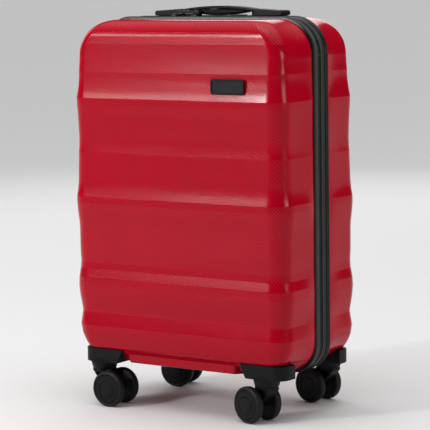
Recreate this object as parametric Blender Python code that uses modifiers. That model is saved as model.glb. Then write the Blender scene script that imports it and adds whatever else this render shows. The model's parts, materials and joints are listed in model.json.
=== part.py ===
"""Hard shell cabin suitcase on four twin-wheel casters.

The case stands on the floor: the origin is under its middle, +Z is up, the front shell faces -Y
and the two halves meet at the plane Y = 0. Sizes are in metres. The front half opens about a
fabric hinge at -X, the trolley handle stands in the back half, and each half carries two casters.
"""

from math import cos, pi, radians, sin, sqrt

import bmesh
import bpy

# --- Overall sizes --------------------------------------------------------------------------------
HALF_WIDTH = 0.176
HALF_DEPTH = 0.1005
SHELL_HEIGHT = 0.475
WHEEL_RADIUS = 0.025
NECK_BOTTOM = 2 * WHEEL_RADIUS + 0.0015
SHELL_BOTTOM = NECK_BOTTOM + 0.0105
SHELL_TOP = SHELL_BOTTOM + SHELL_HEIGHT

# --- Shells ---------------------------------------------------------------------------------------
CORNER_RADIUS = 0.028
TOP_SIDE_RADIUS = 0.050
TOP_FACE_RADIUS = 0.023
BOTTOM_SIDE_RADIUS = 0.040
BOTTOM_FACE_RADIUS = 0.025
WALL = 0.0022
SHELL_EDGE_Y = 0.019
CORNER_STEPS = 4
ROUND_STEPS = 3
# Share of the shell height, and how far the walls stand in from the envelope there.
RIBS = (
    (0.000, 0.0170),
    (0.004, 0.0150),
    (0.037, 0.0125),
    (0.0378, 0.0090),
    (0.063, 0.0063),
    (0.083, 0.0038),
    (0.107, 0.0021),
    (0.147, 0.0050),
    (0.190, 0.0018),
    (0.223, 0.0004),
    (0.276, 0.0034),
    (0.297, 0.0040),
    (0.331, 0.0032),
    (0.411, 0.0026),
    (0.443, 0.0009),
    (0.468, 0.0000),
    (0.488, 0.0002),
    (0.507, 0.0014),
    (0.564, 0.0033),
    (0.617, 0.0042),
    (0.632, 0.0049),
    (0.722, 0.0038),
    (0.775, 0.0026),
    (0.817, 0.0059),
    (0.850, 0.0062),
    (0.882, 0.0079),
    (0.933, 0.0080),
    (0.958, 0.0092),
    (1.000, 0.0092),
)
# The ribs die out towards the seam: distance from it, share of the rib left, and tuck under the piping.
SIDE_COLUMNS = ((SHELL_EDGE_Y, 0.20, 0.0022), (0.030, 0.55, 0.0008), (0.042, 0.85, 0.0))

# --- Seam: piping and zip tapes ---------------------------------------------------------------
GAP = 0.0003
SEAM_INSET = 0.004
PIPING_PROUD = 0.0035
PIPING_DEEP = 0.0035
PIPING_WIDTH = 0.0062
PIPING_ROUND = 0.0012
TAPE_PROUD = 0.0010
TAPE_DEEP = 0.0030
SEAM_CORNER_STEPS = 7
HINGE_X = -HALF_WIDTH - 0.001
HINGE_Z = (SHELL_TOP + SHELL_BOTTOM) / 2

# --- Linings ------------------------------------------------------------------------------------
LINING_WALL = 0.0008
LINING_CLEARANCE = 0.0130
FRONT_LINING_SEAT = 0.0108
LINING_BOTTOM = SHELL_BOTTOM + 0.0215
LINING_TOP = SHELL_TOP - 0.037
LINING_ROUND = CORNER_RADIUS - 0.014
LINING_EDGE_Y = 0.0125

# --- Trolley handle -----------------------------------------------------------------------------
TUBE_Y = HALF_DEPTH - 0.0305
TUBE_X = 0.052
OUTER_TUBE_RADIUS = 0.0090
MIDDLE_TUBE_RADIUS = 0.0078
INNER_TUBE_RADIUS = 0.0066
TUBE_WALL = 0.0008
TUBE_STEPS = 16
BRACKET_BOTTOM = LINING_BOTTOM + 0.0005
BRACKET_HEIGHT = 0.010
BRACKET_FRONT_Y = TUBE_Y - 0.0092
STAGE_STEP = 0.003
GRIP_HALF_LENGTH = 0.070
GRIP_DEPTH = 0.023
GRIP_BOTTOM = SHELL_TOP - 0.0170
GRIP_TOP = SHELL_TOP + 0.0028
GRIP_ROUND = 0.004
GRIP_PLAY = 0.0006
BEZEL_WALL = 0.0016
BEZEL_LIP = 0.0050
BEZEL_THICK = 0.0012
BEZEL_FLOOR = 0.0020
BUTTON_LENGTH = 0.024
BUTTON_WIDTH = 0.009
BUTTON_TALL = 0.0030
BUTTON_PROUD = 0.0013
BUTTON_TRAVEL = 0.0025
CUT_REACH = 0.023

# --- Carry handle -------------------------------------------------------------------------------
HANDLE_Y = 0.026
HANDLE_DEPTH = 0.024
HANDLE_HALF_LENGTH = 0.1045
BOW_HALF_LENGTH = 0.0595
BOW_END_TOP = SHELL_TOP + 0.0125
BOW_RISE = 0.0045
BOW_THICK = 0.0040
BOW_DEPTH = 0.022
LEG_X = BOW_HALF_LENGTH - 0.0035
LEG_THICK = 0.0050
LEG_DEPTH = 0.014
LEG_BOTTOM = SHELL_TOP - 0.0245
LEG_PLAY = 0.0005
SLOT_BELOW = 0.017
SLOT_ABOVE = 0.008
HEAD_SIZE = 0.0100
HEAD_TALL = 0.0025
PAD_HALF_LENGTH = 0.0430
PAD_END_THICK = 0.0020
PAD_CROWN = 0.0067
MOUNT_TOP = SHELL_TOP + 0.0130
MOUNT_SLOPE = 0.0025
MOUNT_FOOT_Y = 0.0192
MOUNT_PLATE_THICK = 0.0020
MOUNT_PLATE_X = LEG_X - 0.0090

# --- Lock and zip sliders -------------------------------------------------------------------------
LOCK_X = -0.045
LOCK_LENGTH = 0.042
LOCK_FRONT_Y = 0.0052
LOCK_BACK_Y = 0.0137
LOCK_TOP = SHELL_TOP + 0.0108
DIAL_RADIUS = 0.0032
DIAL_WIDTH = 0.0034
DIAL_PITCH = 0.0065
DIAL_FIRST_X = LOCK_X - 0.013
DIAL_PROUD = 0.0006
RELEASE_X = LOCK_X + 0.014
RELEASE_LENGTH = 0.0050
RELEASE_WIDTH = 0.0042
RELEASE_TRAVEL = 0.0025
SLIDER_X = (LOCK_X - 0.017, LOCK_X + 0.017)
SLIDER_LENGTH = 0.010
SLIDER_WIDTH = 0.0086
SLIDER_TALL = 0.0040
PULL_LENGTH = 0.0150
PULL_WIDTH = 0.0050
PULL_THICK = 0.0014

# --- Nameplate ------------------------------------------------------------------------------------
BADGE_X = 0.0895
BADGE_Z = SHELL_BOTTOM + 0.8164 * SHELL_HEIGHT
BADGE_LENGTH = 0.053
BADGE_HEIGHT = 0.0205
BADGE_FRAME = 0.0022
BADGE_THICK = 0.0026
PLATE_THICK = 0.0014

# --- Packing straps -------------------------------------------------------------------------------
STRAP_THICK = 0.0012
STRAP_WIDTH = 0.025
STRAP_X = 0.120
STRAP_TOP = LINING_TOP - 0.030
STRAP_BOTTOM = LINING_BOTTOM + 0.0365
BUCKLE_Z = HINGE_Z
BUCKLE_LENGTH = 0.060
BUCKLE_WIDTH = 0.036
BUCKLE_THICK = 0.0100

# --- Casters --------------------------------------------------------------------------------------
CASTER_X = HALF_WIDTH - 0.041
CASTER_Y = HALF_DEPTH - 0.0205
TRAIL = 0.019
WHEEL_WIDTH = 0.011
WHEEL_SPREAD = 0.0167
WHEEL_DOME = 0.0008
WHEEL_STEPS = 20
AXLE_RADIUS = 0.0023
AXLE_PLAY = 0.0003
AXLE_IN_WHEEL = 0.0012
FORK_HALF_THICK = 0.0085
FORK_BOSS = 0.0085
FORK_HALF_LENGTH = 0.0155
FORK_DISC = 0.0108
FORK_DISC_THICK = 0.0035
KINGPIN_RADIUS = 0.0040
KINGPIN_TOP = NECK_BOTTOM + 0.0065
NECK_RADIUS = 0.0165
NECK_TOP_RADIUS = 0.0190
HOUSING_BOTTOM = SHELL_BOTTOM - 0.0020
HOUSING_TOP = SHELL_BOTTOM + 0.0172
HOUSING_INSET = 0.0100
HOUSING_INNER_X = CASTER_X - 0.027
HOUSING_SLANT = 0.012
HOUSING_INNER_Y = CASTER_Y - 0.022
HOUSING_CLEARANCE = 0.0009
# Side signs and the angle at which each caster has come to rest, its trail direction from +X.
CASTERS = {
    "front_right": (1, -1, 164.9),
    "rear_right": (1, 1, 169.5),
    "front_left": (-1, -1, -0.5),
    "rear_left": (-1, 1, 10.0),
}

BLACK = (0.012, 0.012, 0.013, 1.0)
RED = (0.44, 0.006, 0.026, 1.0)
GREY = (0.10, 0.10, 0.11, 1.0)
STEEL = (0.62, 0.62, 0.64, 1.0)


# --- Scene helpers ----------------------------------------------------------------------------------
def clear_scene():
    for item in list(bpy.data.objects):
        bpy.data.objects.remove(item, do_unlink=True)


def collection(name):
    made = bpy.data.collections.new(name)
    bpy.context.scene.collection.children.link(made)
    return made


def material(name, colour, roughness, metallic=0.0):
    made = bpy.data.materials.new(name)
    made.use_nodes = True
    shader = made.node_tree.nodes["Principled BSDF"]
    shader.inputs["Base Color"].default_value = colour
    shader.inputs["Roughness"].default_value = roughness
    shader.inputs["Metallic"].default_value = metallic
    return made


def add_part(name, mesh, finish, where=(0, 0, 0), turn=(0, 0, 0)):
    made = bpy.data.objects.new(name, mesh)
    made.location = where
    made.rotation_euler = turn
    mesh.materials.clear()
    mesh.materials.append(finish)
    mesh.shade_smooth()
    mesh.set_sharp_from_angle(angle=radians(35))
    PARTS.objects.link(made)
    return made


def add_cutter(name, mesh, where=(0, 0, 0), turn=(0, 0, 0)):
    made = bpy.data.objects.new(name, mesh)
    made.location = where
    made.rotation_euler = turn
    made.hide_render = True
    made.display_type = "WIRE"
    CUTTERS.objects.link(made)
    return made


def boolean(item, other, operation):
    step = item.modifiers.new(f"{operation.lower()}_{other.name}", "BOOLEAN")
    step.operation = operation
    step.object = other
    step.solver = "EXACT"


def bevel(item, width, segments=2, angle=40):
    step = item.modifiers.new("bevel", "BEVEL")
    step.width = width
    step.segments = segments
    step.limit_method = "ANGLE"
    step.angle_limit = radians(angle)


def finished(mesh_name, shape):
    mesh = bpy.data.meshes.new(mesh_name)
    shape.to_mesh(mesh)
    shape.free()
    return mesh


def box_mesh(name, low, high):
    """A box between two corners, with its scale already in the mesh."""
    shape = bmesh.new()
    bmesh.ops.create_cube(shape, size=1.0)
    for vertex in shape.verts:
        for axis in range(3):
            vertex.co[axis] = low[axis] if vertex.co[axis] < 0 else high[axis]
    return finished(name, shape)


def rod_mesh(name, radius, low, high, steps, top_radius=None):
    """A round bar or cone along Z, from low to high."""
    shape = bmesh.new()
    bmesh.ops.create_cone(
        shape,
        cap_ends=True,
        segments=steps,
        radius1=radius,
        radius2=radius if top_radius is None else top_radius,
        depth=high - low,
    )
    bmesh.ops.translate(shape, verts=shape.verts, vec=(0, 0, (low + high) / 2))
    return finished(name, shape)


def plate_mesh(name, outlines, thickness):
    """A flat plate in the XY plane, centred on it. The first outline is the edge, others are holes."""
    curve = bpy.data.curves.new(name, "CURVE")
    curve.dimensions = "2D"
    curve.fill_mode = "BOTH"
    curve.extrude = thickness / 2
    for outline in outlines:
        spline = curve.splines.new("POLY")
        spline.points.add(len(outline) - 1)
        for point, (x, y) in zip(spline.points, outline):
            point.co = (x, y, 0, 1)
        spline.use_cyclic_u = True
    holder = bpy.data.objects.new(name, curve)
    bpy.context.scene.collection.objects.link(holder)
    bpy.context.view_layer.update()
    graph = bpy.context.evaluated_depsgraph_get()
    mesh = bpy.data.meshes.new_from_object(holder.evaluated_get(graph))
    bpy.data.objects.remove(holder, do_unlink=True)
    shape = bmesh.new()
    shape.from_mesh(mesh)
    bmesh.ops.remove_doubles(shape, verts=shape.verts, dist=1e-6)
    bmesh.ops.recalc_face_normals(shape, faces=shape.faces)
    return finished(name, shape)


def tube_mesh(name, radius, wall, low, high):
    """A round tube along Z: the profile of its wall turned about the axis."""
    profile = [(radius, high), (radius, low), (radius - wall, low), (radius - wall, high)]
    return turned_mesh(name, profile, TUBE_STEPS, closed=True)


def turned_mesh(name, profile, steps, closed=False):
    """The profile (radius, height) turned about Z by a Screw modifier."""
    mesh = bpy.data.meshes.new(name)
    points = [(radius, 0, height) for radius, height in profile]
    edges = [(i, i + 1) for i in range(len(points) - 1)]
    if closed:
        edges.append((len(points) - 1, 0))
    mesh.from_pydata(points, edges, [])
    holder = bpy.data.objects.new(name, mesh)
    bpy.context.scene.collection.objects.link(holder)
    screw = holder.modifiers.new("screw", "SCREW")
    screw.steps = steps
    screw.render_steps = steps
    screw.use_merge_vertices = True
    screw.merge_threshold = 1e-6
    bpy.context.view_layer.update()
    graph = bpy.context.evaluated_depsgraph_get()
    turned = bpy.data.meshes.new_from_object(holder.evaluated_get(graph))
    bpy.data.objects.remove(holder, do_unlink=True)
    shape = bmesh.new()
    shape.from_mesh(turned)
    bmesh.ops.recalc_face_normals(shape, faces=shape.faces)
    return finished(name, shape)


def arc(centre_x, centre_y, radius, start, end, steps):
    """Points on a circle between two angles in degrees, both ends included."""
    angles = [radians(start + (end - start) * i / steps) for i in range(steps + 1)]
    return [(centre_x + radius * cos(a), centre_y + radius * sin(a)) for a in angles]


# --- Shell surface ----------------------------------------------------------------------------------
def rounding(z, top_radius, bottom_radius):
    """How far a wall has curved inwards at this height, for the rounded top and bottom edges."""
    above = z - (SHELL_TOP - top_radius)
    if above > 0:
        return top_radius - sqrt(max(top_radius**2 - above**2, 0))
    below = SHELL_BOTTOM + bottom_radius - z
    if below > 0:
        return bottom_radius - sqrt(max(bottom_radius**2 - below**2, 0))
    return 0.0


def rib_inset(z):
    share = (z - SHELL_BOTTOM) / (SHELL_TOP - SHELL_BOTTOM)
    share = min(max(share, 0.0), 1.0)
    for (low, first), (high, second) in zip(RIBS, RIBS[1:]):
        if share <= high:
            return first + (second - first) * (share - low) / (high - low)
    return RIBS[-1][1]


def shell_levels():
    """The heights of the sections: one at each rib line and a few round the top edge."""
    height = SHELL_TOP - SHELL_BOTTOM
    levels = [SHELL_BOTTOM + share * height for share, _ in RIBS if share < 0.96]
    for step in range(1, ROUND_STEPS + 1):
        turn = pi / 2 * step / ROUND_STEPS
        levels.append(SHELL_TOP - TOP_FACE_RADIUS * (1 - sin(turn)))
    return levels


def shell_section(z, side, grow):
    """One level of a half shell, from its -X edge round the outside to its +X edge."""
    inset = rib_inset(z) - grow
    half_x = HALF_WIDTH - rounding(z, TOP_SIDE_RADIUS, BOTTOM_SIDE_RADIUS)
    half_y = HALF_DEPTH - rounding(z, TOP_FACE_RADIUS, BOTTOM_FACE_RADIUS) - inset
    radius = CORNER_RADIUS - inset
    right = [(half_x - inset * fade - tuck, y) for y, fade, tuck in SIDE_COLUMNS]
    right += arc(half_x - CORNER_RADIUS, half_y - radius, radius, 0, 90, CORNER_STEPS)
    left = [(-x, y) for x, y in right]
    return [(x, side * y, z) for x, y in left + right[::-1]]


def shell_surface(name, side, grow=0.0, closed=False):
    """The outer skin of a half shell as a loft of its sections, open at the seam unless closed."""
    shape = bmesh.new()
    levels = shell_levels()
    if grow:
        levels[0] -= grow
        levels[-1] += grow
    rows = []
    for z in levels:
        kept = min(max(z, SHELL_BOTTOM), SHELL_TOP)
        row = shell_section(kept, side, grow)
        rows.append([shape.verts.new((x, y, z)) for x, y, _ in row])
    for lower, upper in zip(rows, rows[1:]):
        for i in range(len(lower) - 1):
            shape.faces.new((lower[i], lower[i + 1], upper[i + 1], upper[i]))
    shape.faces.new(rows[0][::-1])
    shape.faces.new(rows[-1])
    if closed:
        edge = [row[0] for row in rows] + [row[-1] for row in reversed(rows)]
        shape.faces.new(edge)
        bmesh.ops.triangulate(shape, faces=shape.faces)
    if side > 0:
        bmesh.ops.reverse_faces(shape, faces=shape.faces)
    return finished(name, shape)


def make_shell(name, side):
    shell = add_part(name, shell_surface(name, side), RED_SHELL)
    wall = shell.modifiers.new("wall", "SOLIDIFY")
    wall.thickness = WALL
    wall.offset = -1
    wall.use_even_offset = True
    return shell


# --- Seam -------------------------------------------------------------------------------------------
def seam_outline(offset):
    """The closing line of the case seen from the front, moved outwards by offset."""
    half = HALF_WIDTH - SEAM_INSET + offset
    top, bottom = SHELL_TOP + offset, SHELL_BOTTOM - offset
    top_radius = TOP_SIDE_RADIUS - SEAM_INSET / 2 + offset
    bottom_radius = BOTTOM_SIDE_RADIUS - SEAM_INSET / 2 + offset
    steps = SEAM_CORNER_STEPS
    points = arc(half - top_radius, top - top_radius, top_radius, 0, 90, steps)
    points += arc(top_radius - half, top - top_radius, top_radius, 90, 180, steps)
    points += arc(bottom_radius - half, bottom + bottom_radius, bottom_radius, 180, 270, steps)
    points += arc(half - bottom_radius, bottom + bottom_radius, bottom_radius, 270, 360, steps)
    return points


def make_seam_ring(name, side, near_y, far_y, proud, deep, finish):
    """A closed band round the case between two distances from the seam plane."""
    mesh = plate_mesh(name, (seam_outline(proud), seam_outline(-deep)), far_y - near_y)
    middle = side * (near_y + far_y) / 2
    return add_part(name, mesh, finish, (0, middle, 0), (pi / 2, 0, 0))


def make_seam():
    piping_near = SHELL_EDGE_Y - GAP - PIPING_WIDTH
    for word, side in (("front", -1), ("back", 1)):
        piping = make_seam_ring(
            f"{word}_rim_piping", side, piping_near, SHELL_EDGE_Y - GAP, PIPING_PROUD, PIPING_DEEP,
            BLACK_RUBBER,
        )
        bevel(piping, PIPING_ROUND, 1)
        make_seam_ring(
            f"{word}_zip_tape", side, GAP, piping_near - GAP, TAPE_PROUD, TAPE_DEEP, BLACK_FABRIC
        )


# --- Linings and straps -----------------------------------------------------------------------------
def make_lining(name, side, depth):
    """A thin open tub of cloth inside a shell."""
    half_x = HALF_WIDTH - LINING_CLEARANCE
    near, far = sorted((side * LINING_EDGE_Y, side * depth))
    shape = bmesh.new()
    shape.from_mesh(box_mesh(name, (-half_x, near, LINING_BOTTOM), (half_x, far, LINING_TOP)))
    mouth = [f for f in shape.faces if f.normal.y * side < -0.5]
    bmesh.ops.delete(shape, geom=mouth, context="FACES_ONLY")
    lining = add_part(name, finished(name, shape), GREY_CLOTH)
    bevel(lining, LINING_ROUND, 2)
    wall = lining.modifiers.new("wall", "SOLIDIFY")
    wall.thickness = LINING_WALL
    wall.offset = -1
    return lining


def make_straps(floor_y):
    """Two V-shaped elastic straps that lie on the lining, and the buckle that joins them."""
    middle = floor_y - GAP - STRAP_THICK / 2
    half = STRAP_WIDTH / 2
    for word, end_z, sign in (("upper", STRAP_TOP, 1), ("lower", STRAP_BOTTOM, -1)):
        foot = BUCKLE_Z + sign * (BUCKLE_LENGTH / 2 + GAP)
        outline = [
            (-half, foot), (half, foot),
            (STRAP_X + half, end_z), (STRAP_X - half, end_z),
            (0, foot + sign * STRAP_WIDTH),
            (half - STRAP_X, end_z), (-half - STRAP_X, end_z),
        ]
        mesh = plate_mesh(f"packing_strap_{word}", (outline,), STRAP_THICK)
        add_part(f"packing_strap_{word}", mesh, BLACK_FABRIC, (0, middle, 0), (pi / 2, 0, 0))
    back = floor_y - GAP
    low = (-BUCKLE_WIDTH / 2, back - BUCKLE_THICK, BUCKLE_Z - BUCKLE_LENGTH / 2)
    high = (BUCKLE_WIDTH / 2, back, BUCKLE_Z + BUCKLE_LENGTH / 2)
    buckle = add_part("strap_buckle", box_mesh("strap_buckle", low, high), BLACK_PLASTIC)
    bevel(buckle, 0.002, 1)


# --- Trolley handle ---------------------------------------------------------------------------------
def make_trolley(back_shell):
    bezel_floor_top = GRIP_BOTTOM - GAP - STAGE_STEP / 10
    pocket_bottom = bezel_floor_top - BEZEL_FLOOR
    inner = (GRIP_HALF_LENGTH + GRIP_PLAY, GRIP_DEPTH / 2 + GRIP_PLAY)
    outer = (inner[0] + BEZEL_WALL, inner[1] + BEZEL_WALL)
    lip = (outer[0] + BEZEL_LIP, outer[1] + BEZEL_LIP / 2)

    def block(name, half, low, high):
        x, y = half
        return box_mesh(name, (-x, TUBE_Y - y, low), (x, TUBE_Y + y, high))

    hole = (outer[0] + GAP, outer[1] + GAP)
    above = SHELL_TOP + CUT_REACH
    opening = block("bezel_opening", hole, SHELL_TOP - CUT_REACH, above)
    opening = add_cutter("bezel_opening", opening)
    boolean(back_shell, opening, "DIFFERENCE")

    lip_low = SHELL_TOP + GAP
    bezel = add_part(
        "trolley_bezel", block("trolley_bezel", lip, lip_low, lip_low + BEZEL_THICK), BLACK_PLASTIC
    )
    pocket = add_cutter(
        "bezel_pocket", block("bezel_pocket", outer, pocket_bottom, lip_low + BEZEL_THICK / 2)
    )
    boolean(bezel, pocket, "UNION")
    well = add_cutter("bezel_well", block("bezel_well", inner, bezel_floor_top, above))
    boolean(bezel, well, "DIFFERENCE")

    tube_foot = BRACKET_BOTTOM + BRACKET_HEIGHT + GAP
    for word, x in (("left", -TUBE_X), ("right", TUBE_X)):
        reach = MIDDLE_TUBE_RADIUS + GAP + 0.0001
        bore = rod_mesh(f"tube_bore_{word}", reach, pocket_bottom - 0.01, GRIP_BOTTOM + 0.01, TUBE_STEPS)
        boolean(bezel, add_cutter(f"tube_bore_{word}", bore, (x, TUBE_Y, 0)), "DIFFERENCE")
        stages = (
            ("outer", OUTER_TUBE_RADIUS, tube_foot, pocket_bottom - GAP),
            ("middle", MIDDLE_TUBE_RADIUS, tube_foot + STAGE_STEP, bezel_floor_top),
            ("inner", INNER_TUBE_RADIUS, tube_foot + 2 * STAGE_STEP, GRIP_BOTTOM - GAP),
        )
        for stage, radius, low, high in stages:
            name = f"trolley_{stage}_tube_{word}"
            mesh = tube_mesh(name, radius, TUBE_WALL, low, high)
            add_part(name, mesh, ALUMINIUM, (x, TUBE_Y, 0))

    back = HALF_DEPTH - rib_inset(BRACKET_BOTTOM) - WALL - 4 * GAP
    width = TUBE_X + OUTER_TUBE_RADIUS + 0.004
    bracket = box_mesh(
        "tube_foot_bracket",
        (-width, BRACKET_FRONT_Y, BRACKET_BOTTOM),
        (width, back, BRACKET_BOTTOM + BRACKET_HEIGHT),
    )
    bevel(add_part("tube_foot_bracket", bracket, BLACK_PLASTIC), 0.001, 1)

    half = (GRIP_HALF_LENGTH, GRIP_DEPTH / 2)
    grip = add_part(
        "trolley_grip", block("trolley_grip", half, GRIP_BOTTOM, GRIP_TOP), BLACK_PLASTIC
    )
    bevel(grip, GRIP_ROUND, 2)
    half = (BUTTON_LENGTH / 2 + GAP, BUTTON_WIDTH / 2 + GAP)
    button_top = GRIP_TOP + BUTTON_PROUD
    seat = button_top - BUTTON_TALL - BUTTON_TRAVEL - GAP
    slot = add_cutter("button_slot", block("button_slot", half, seat, above))
    boolean(grip, slot, "DIFFERENCE")
    half = (BUTTON_LENGTH / 2, BUTTON_WIDTH / 2)
    button = block("trolley_button", half, button_top - BUTTON_TALL, button_top)
    bevel(add_part("trolley_button", button, GREY_PLASTIC), 0.0006, 1)


# --- Carry handle -----------------------------------------------------------------------------------
def bow_top(x):
    return BOW_END_TOP + BOW_RISE * (1 - (x / BOW_HALF_LENGTH) ** 2)


def make_carry_handle(back_shell):
    steps = 12
    across = [BOW_HALF_LENGTH * (2 * i / steps - 1) for i in range(steps + 1)]
    upper = [(x, bow_top(x)) for x in across]
    lower = [(x, bow_top(x) - BOW_THICK) for x in reversed(across)]
    strap = plate_mesh("carry_handle_bow", (upper + lower,), BOW_DEPTH)
    bow = add_part("carry_handle_bow", strap, BLACK_RUBBER, (0, HANDLE_Y, 0), (pi / 2, 0, 0))

    across = [PAD_HALF_LENGTH * (2 * i / steps - 1) for i in range(steps + 1)]
    upper = [(x, bow_top(x) - BOW_THICK - GAP) for x in across]
    lower = [
        (x, z - PAD_END_THICK - PAD_CROWN * (1 - (x / PAD_HALF_LENGTH) ** 2))
        for x, z in reversed(upper)
    ]
    pad = plate_mesh("carry_handle_grip", (upper + lower,), HANDLE_DEPTH)
    pad = add_part("carry_handle_grip", pad, BLACK_RUBBER, (0, HANDLE_Y, 0), (pi / 2, 0, 0))
    bevel(pad, 0.0015, 1, 50)

    plate_top = SHELL_TOP + GAP + MOUNT_PLATE_THICK
    block_low = SHELL_TOP + PIPING_PROUD + GAP
    far = HANDLE_Y + HANDLE_DEPTH / 2
    block_x = BOW_HALF_LENGTH + 5 * GAP
    for word, sign in (("left", -1), ("right", 1)):
        def span(x0, x1):
            return sorted((sign * x0, sign * x1))

        leg_x = span(LEG_X - LEG_THICK / 2, LEG_X + LEG_THICK / 2)
        leg_y = (HANDLE_Y - LEG_DEPTH / 2, HANDLE_Y + LEG_DEPTH / 2)
        leg_top = bow_top(LEG_X) - BOW_THICK / 2
        leg = add_cutter(f"handle_leg_{word}", box_mesh(
            f"handle_leg_{word}", (leg_x[0], leg_y[0], LEG_BOTTOM), (leg_x[1], leg_y[1], leg_top)
        ))
        boolean(bow, leg, "UNION")
        head_x = span(LEG_X - HEAD_SIZE / 2, LEG_X + HEAD_SIZE / 2)
        head = add_cutter(f"handle_head_{word}", box_mesh(
            f"handle_head_{word}",
            (head_x[0], leg_y[0] - 0.001, LEG_BOTTOM - 0.0005),
            (head_x[1], leg_y[1] + 0.001, LEG_BOTTOM - 0.0005 + HEAD_TALL),
        ))
        boolean(bow, head, "UNION")
        slot = add_cutter(f"handle_slot_{word}", box_mesh(
            f"handle_slot_{word}",
            (leg_x[0] - LEG_PLAY, leg_y[0] - LEG_PLAY, SHELL_TOP - SLOT_BELOW),
            (leg_x[1] + LEG_PLAY, leg_y[1] + LEG_PLAY, SHELL_TOP + SLOT_ABOVE),
        ))
        boolean(back_shell, slot, "DIFFERENCE")

        nose = HANDLE_HALF_LENGTH
        outline = [
            (block_x, block_low), (nose - 0.001, block_low),
            (nose, block_low + 0.0015), (nose, MOUNT_TOP - MOUNT_SLOPE - 0.002),
            (nose - 0.002, MOUNT_TOP - MOUNT_SLOPE), (block_x, MOUNT_TOP),
        ]
        outline = [(sign * x, z) for x, z in outline][::sign]
        name = f"carry_handle_mount_{word}"
        mesh = plate_mesh(name, (outline,), HANDLE_DEPTH)
        mount = add_part(name, mesh, BLACK_PLASTIC, (0, HANDLE_Y, 0), (pi / 2, 0, 0))
        foot_x = span(block_x + 0.001, nose - 0.003)
        foot = add_cutter(f"mount_foot_{word}", box_mesh(
            f"mount_foot_{word}",
            (foot_x[0], MOUNT_FOOT_Y, SHELL_TOP + GAP), (foot_x[1], far - 0.0008, block_low + 0.001),
        ))
        boolean(mount, foot, "UNION")
        plate_x = span(MOUNT_PLATE_X, block_x + 0.004)
        plate = add_cutter(f"mount_plate_{word}", box_mesh(
            f"mount_plate_{word}",
            (plate_x[0], MOUNT_FOOT_Y + 0.0002, SHELL_TOP + GAP), (plate_x[1], far - 0.0004, plate_top),
        ))
        boolean(mount, plate, "UNION")
        boolean(mount, slot, "DIFFERENCE")


# --- Lock and zip sliders ---------------------------------------------------------------------------
def make_lock():
    low_x, high_x = LOCK_X - LOCK_LENGTH / 2, LOCK_X + LOCK_LENGTH / 2
    tape_top = SHELL_TOP + TAPE_PROUD
    piping_top = SHELL_TOP + PIPING_PROUD
    body = add_part("lock_body", box_mesh(
        "lock_body",
        (low_x, LOCK_FRONT_Y, piping_top + GAP), (high_x, LOCK_BACK_Y, LOCK_TOP),
    ), BLACK_PLASTIC)
    piping_near = SHELL_EDGE_Y - GAP - PIPING_WIDTH
    foot = add_cutter("lock_foot", box_mesh(
        "lock_foot",
        (low_x + 0.001, LOCK_FRONT_Y + 0.0005, tape_top + GAP),
        (high_x - 0.001, piping_near - GAP, piping_top + 0.002),
    ))
    boolean(body, foot, "UNION")
    middle_y = (LOCK_FRONT_Y + LOCK_BACK_Y) / 2
    dial_z = LOCK_TOP + DIAL_PROUD - DIAL_RADIUS
    for number in range(3):
        x = DIAL_FIRST_X + DIAL_PITCH * number
        half = DIAL_WIDTH / 2 + GAP
        well = add_cutter(f"dial_well_{number + 1}", box_mesh(
            f"dial_well_{number + 1}",
            (x - half, middle_y - DIAL_RADIUS - GAP, dial_z - DIAL_RADIUS - GAP),
            (x + half, middle_y + DIAL_RADIUS + GAP, LOCK_TOP + 0.005),
        ))
        boolean(body, well, "DIFFERENCE")
        name = f"lock_dial_{number + 1}"
        mesh = rod_mesh(name, DIAL_RADIUS, -DIAL_WIDTH / 2, DIAL_WIDTH / 2, 10)
        add_part(name, mesh, GREY_PLASTIC, (x, middle_y, dial_z), (0, pi / 2, 0))
    tall = 0.0020
    half_y = RELEASE_WIDTH / 2
    end = RELEASE_X + RELEASE_LENGTH / 2
    start = RELEASE_X - RELEASE_LENGTH / 2
    well = add_cutter("release_well", box_mesh(
        "release_well",
        (start - RELEASE_TRAVEL - GAP, middle_y - half_y - GAP, LOCK_TOP - tall - GAP),
        (end + GAP, middle_y + half_y + GAP, LOCK_TOP + 0.005),
    ))
    boolean(body, well, "DIFFERENCE")
    add_part("lock_release", box_mesh(
        "lock_release",
        (start, middle_y - half_y, LOCK_TOP - tall), (end, middle_y + half_y, LOCK_TOP + 0.0008),
    ), GREY_PLASTIC)


def make_zip_sliders():
    base = SHELL_TOP + TAPE_PROUD + 2 * GAP
    names = ("left", "right")
    for word, x, sign in zip(names, SLIDER_X, (1, -1)):
        half = SLIDER_LENGTH / 2
        slider = add_part(f"zip_slider_{word}", box_mesh(
            f"zip_slider_{word}",
            (x - half, -SLIDER_WIDTH / 2, base), (x + half, SLIDER_WIDTH / 2, base + SLIDER_TALL),
        ), STEEL_ZIP)
        bevel(slider, 0.0012, 1)
        tail = PULL_THICK / 2
        start, end = sorted((-sign * tail, sign * (PULL_LENGTH - tail)))
        pivot = (x, 0, base + SLIDER_TALL + GAP + tail)
        pull = add_part(f"zip_pull_{word}", box_mesh(
            f"zip_pull_{word}", (start, -PULL_WIDTH / 2, -tail), (end, PULL_WIDTH / 2, tail)
        ), STEEL_ZIP, pivot)
        bevel(pull, 0.0004, 1)


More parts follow.
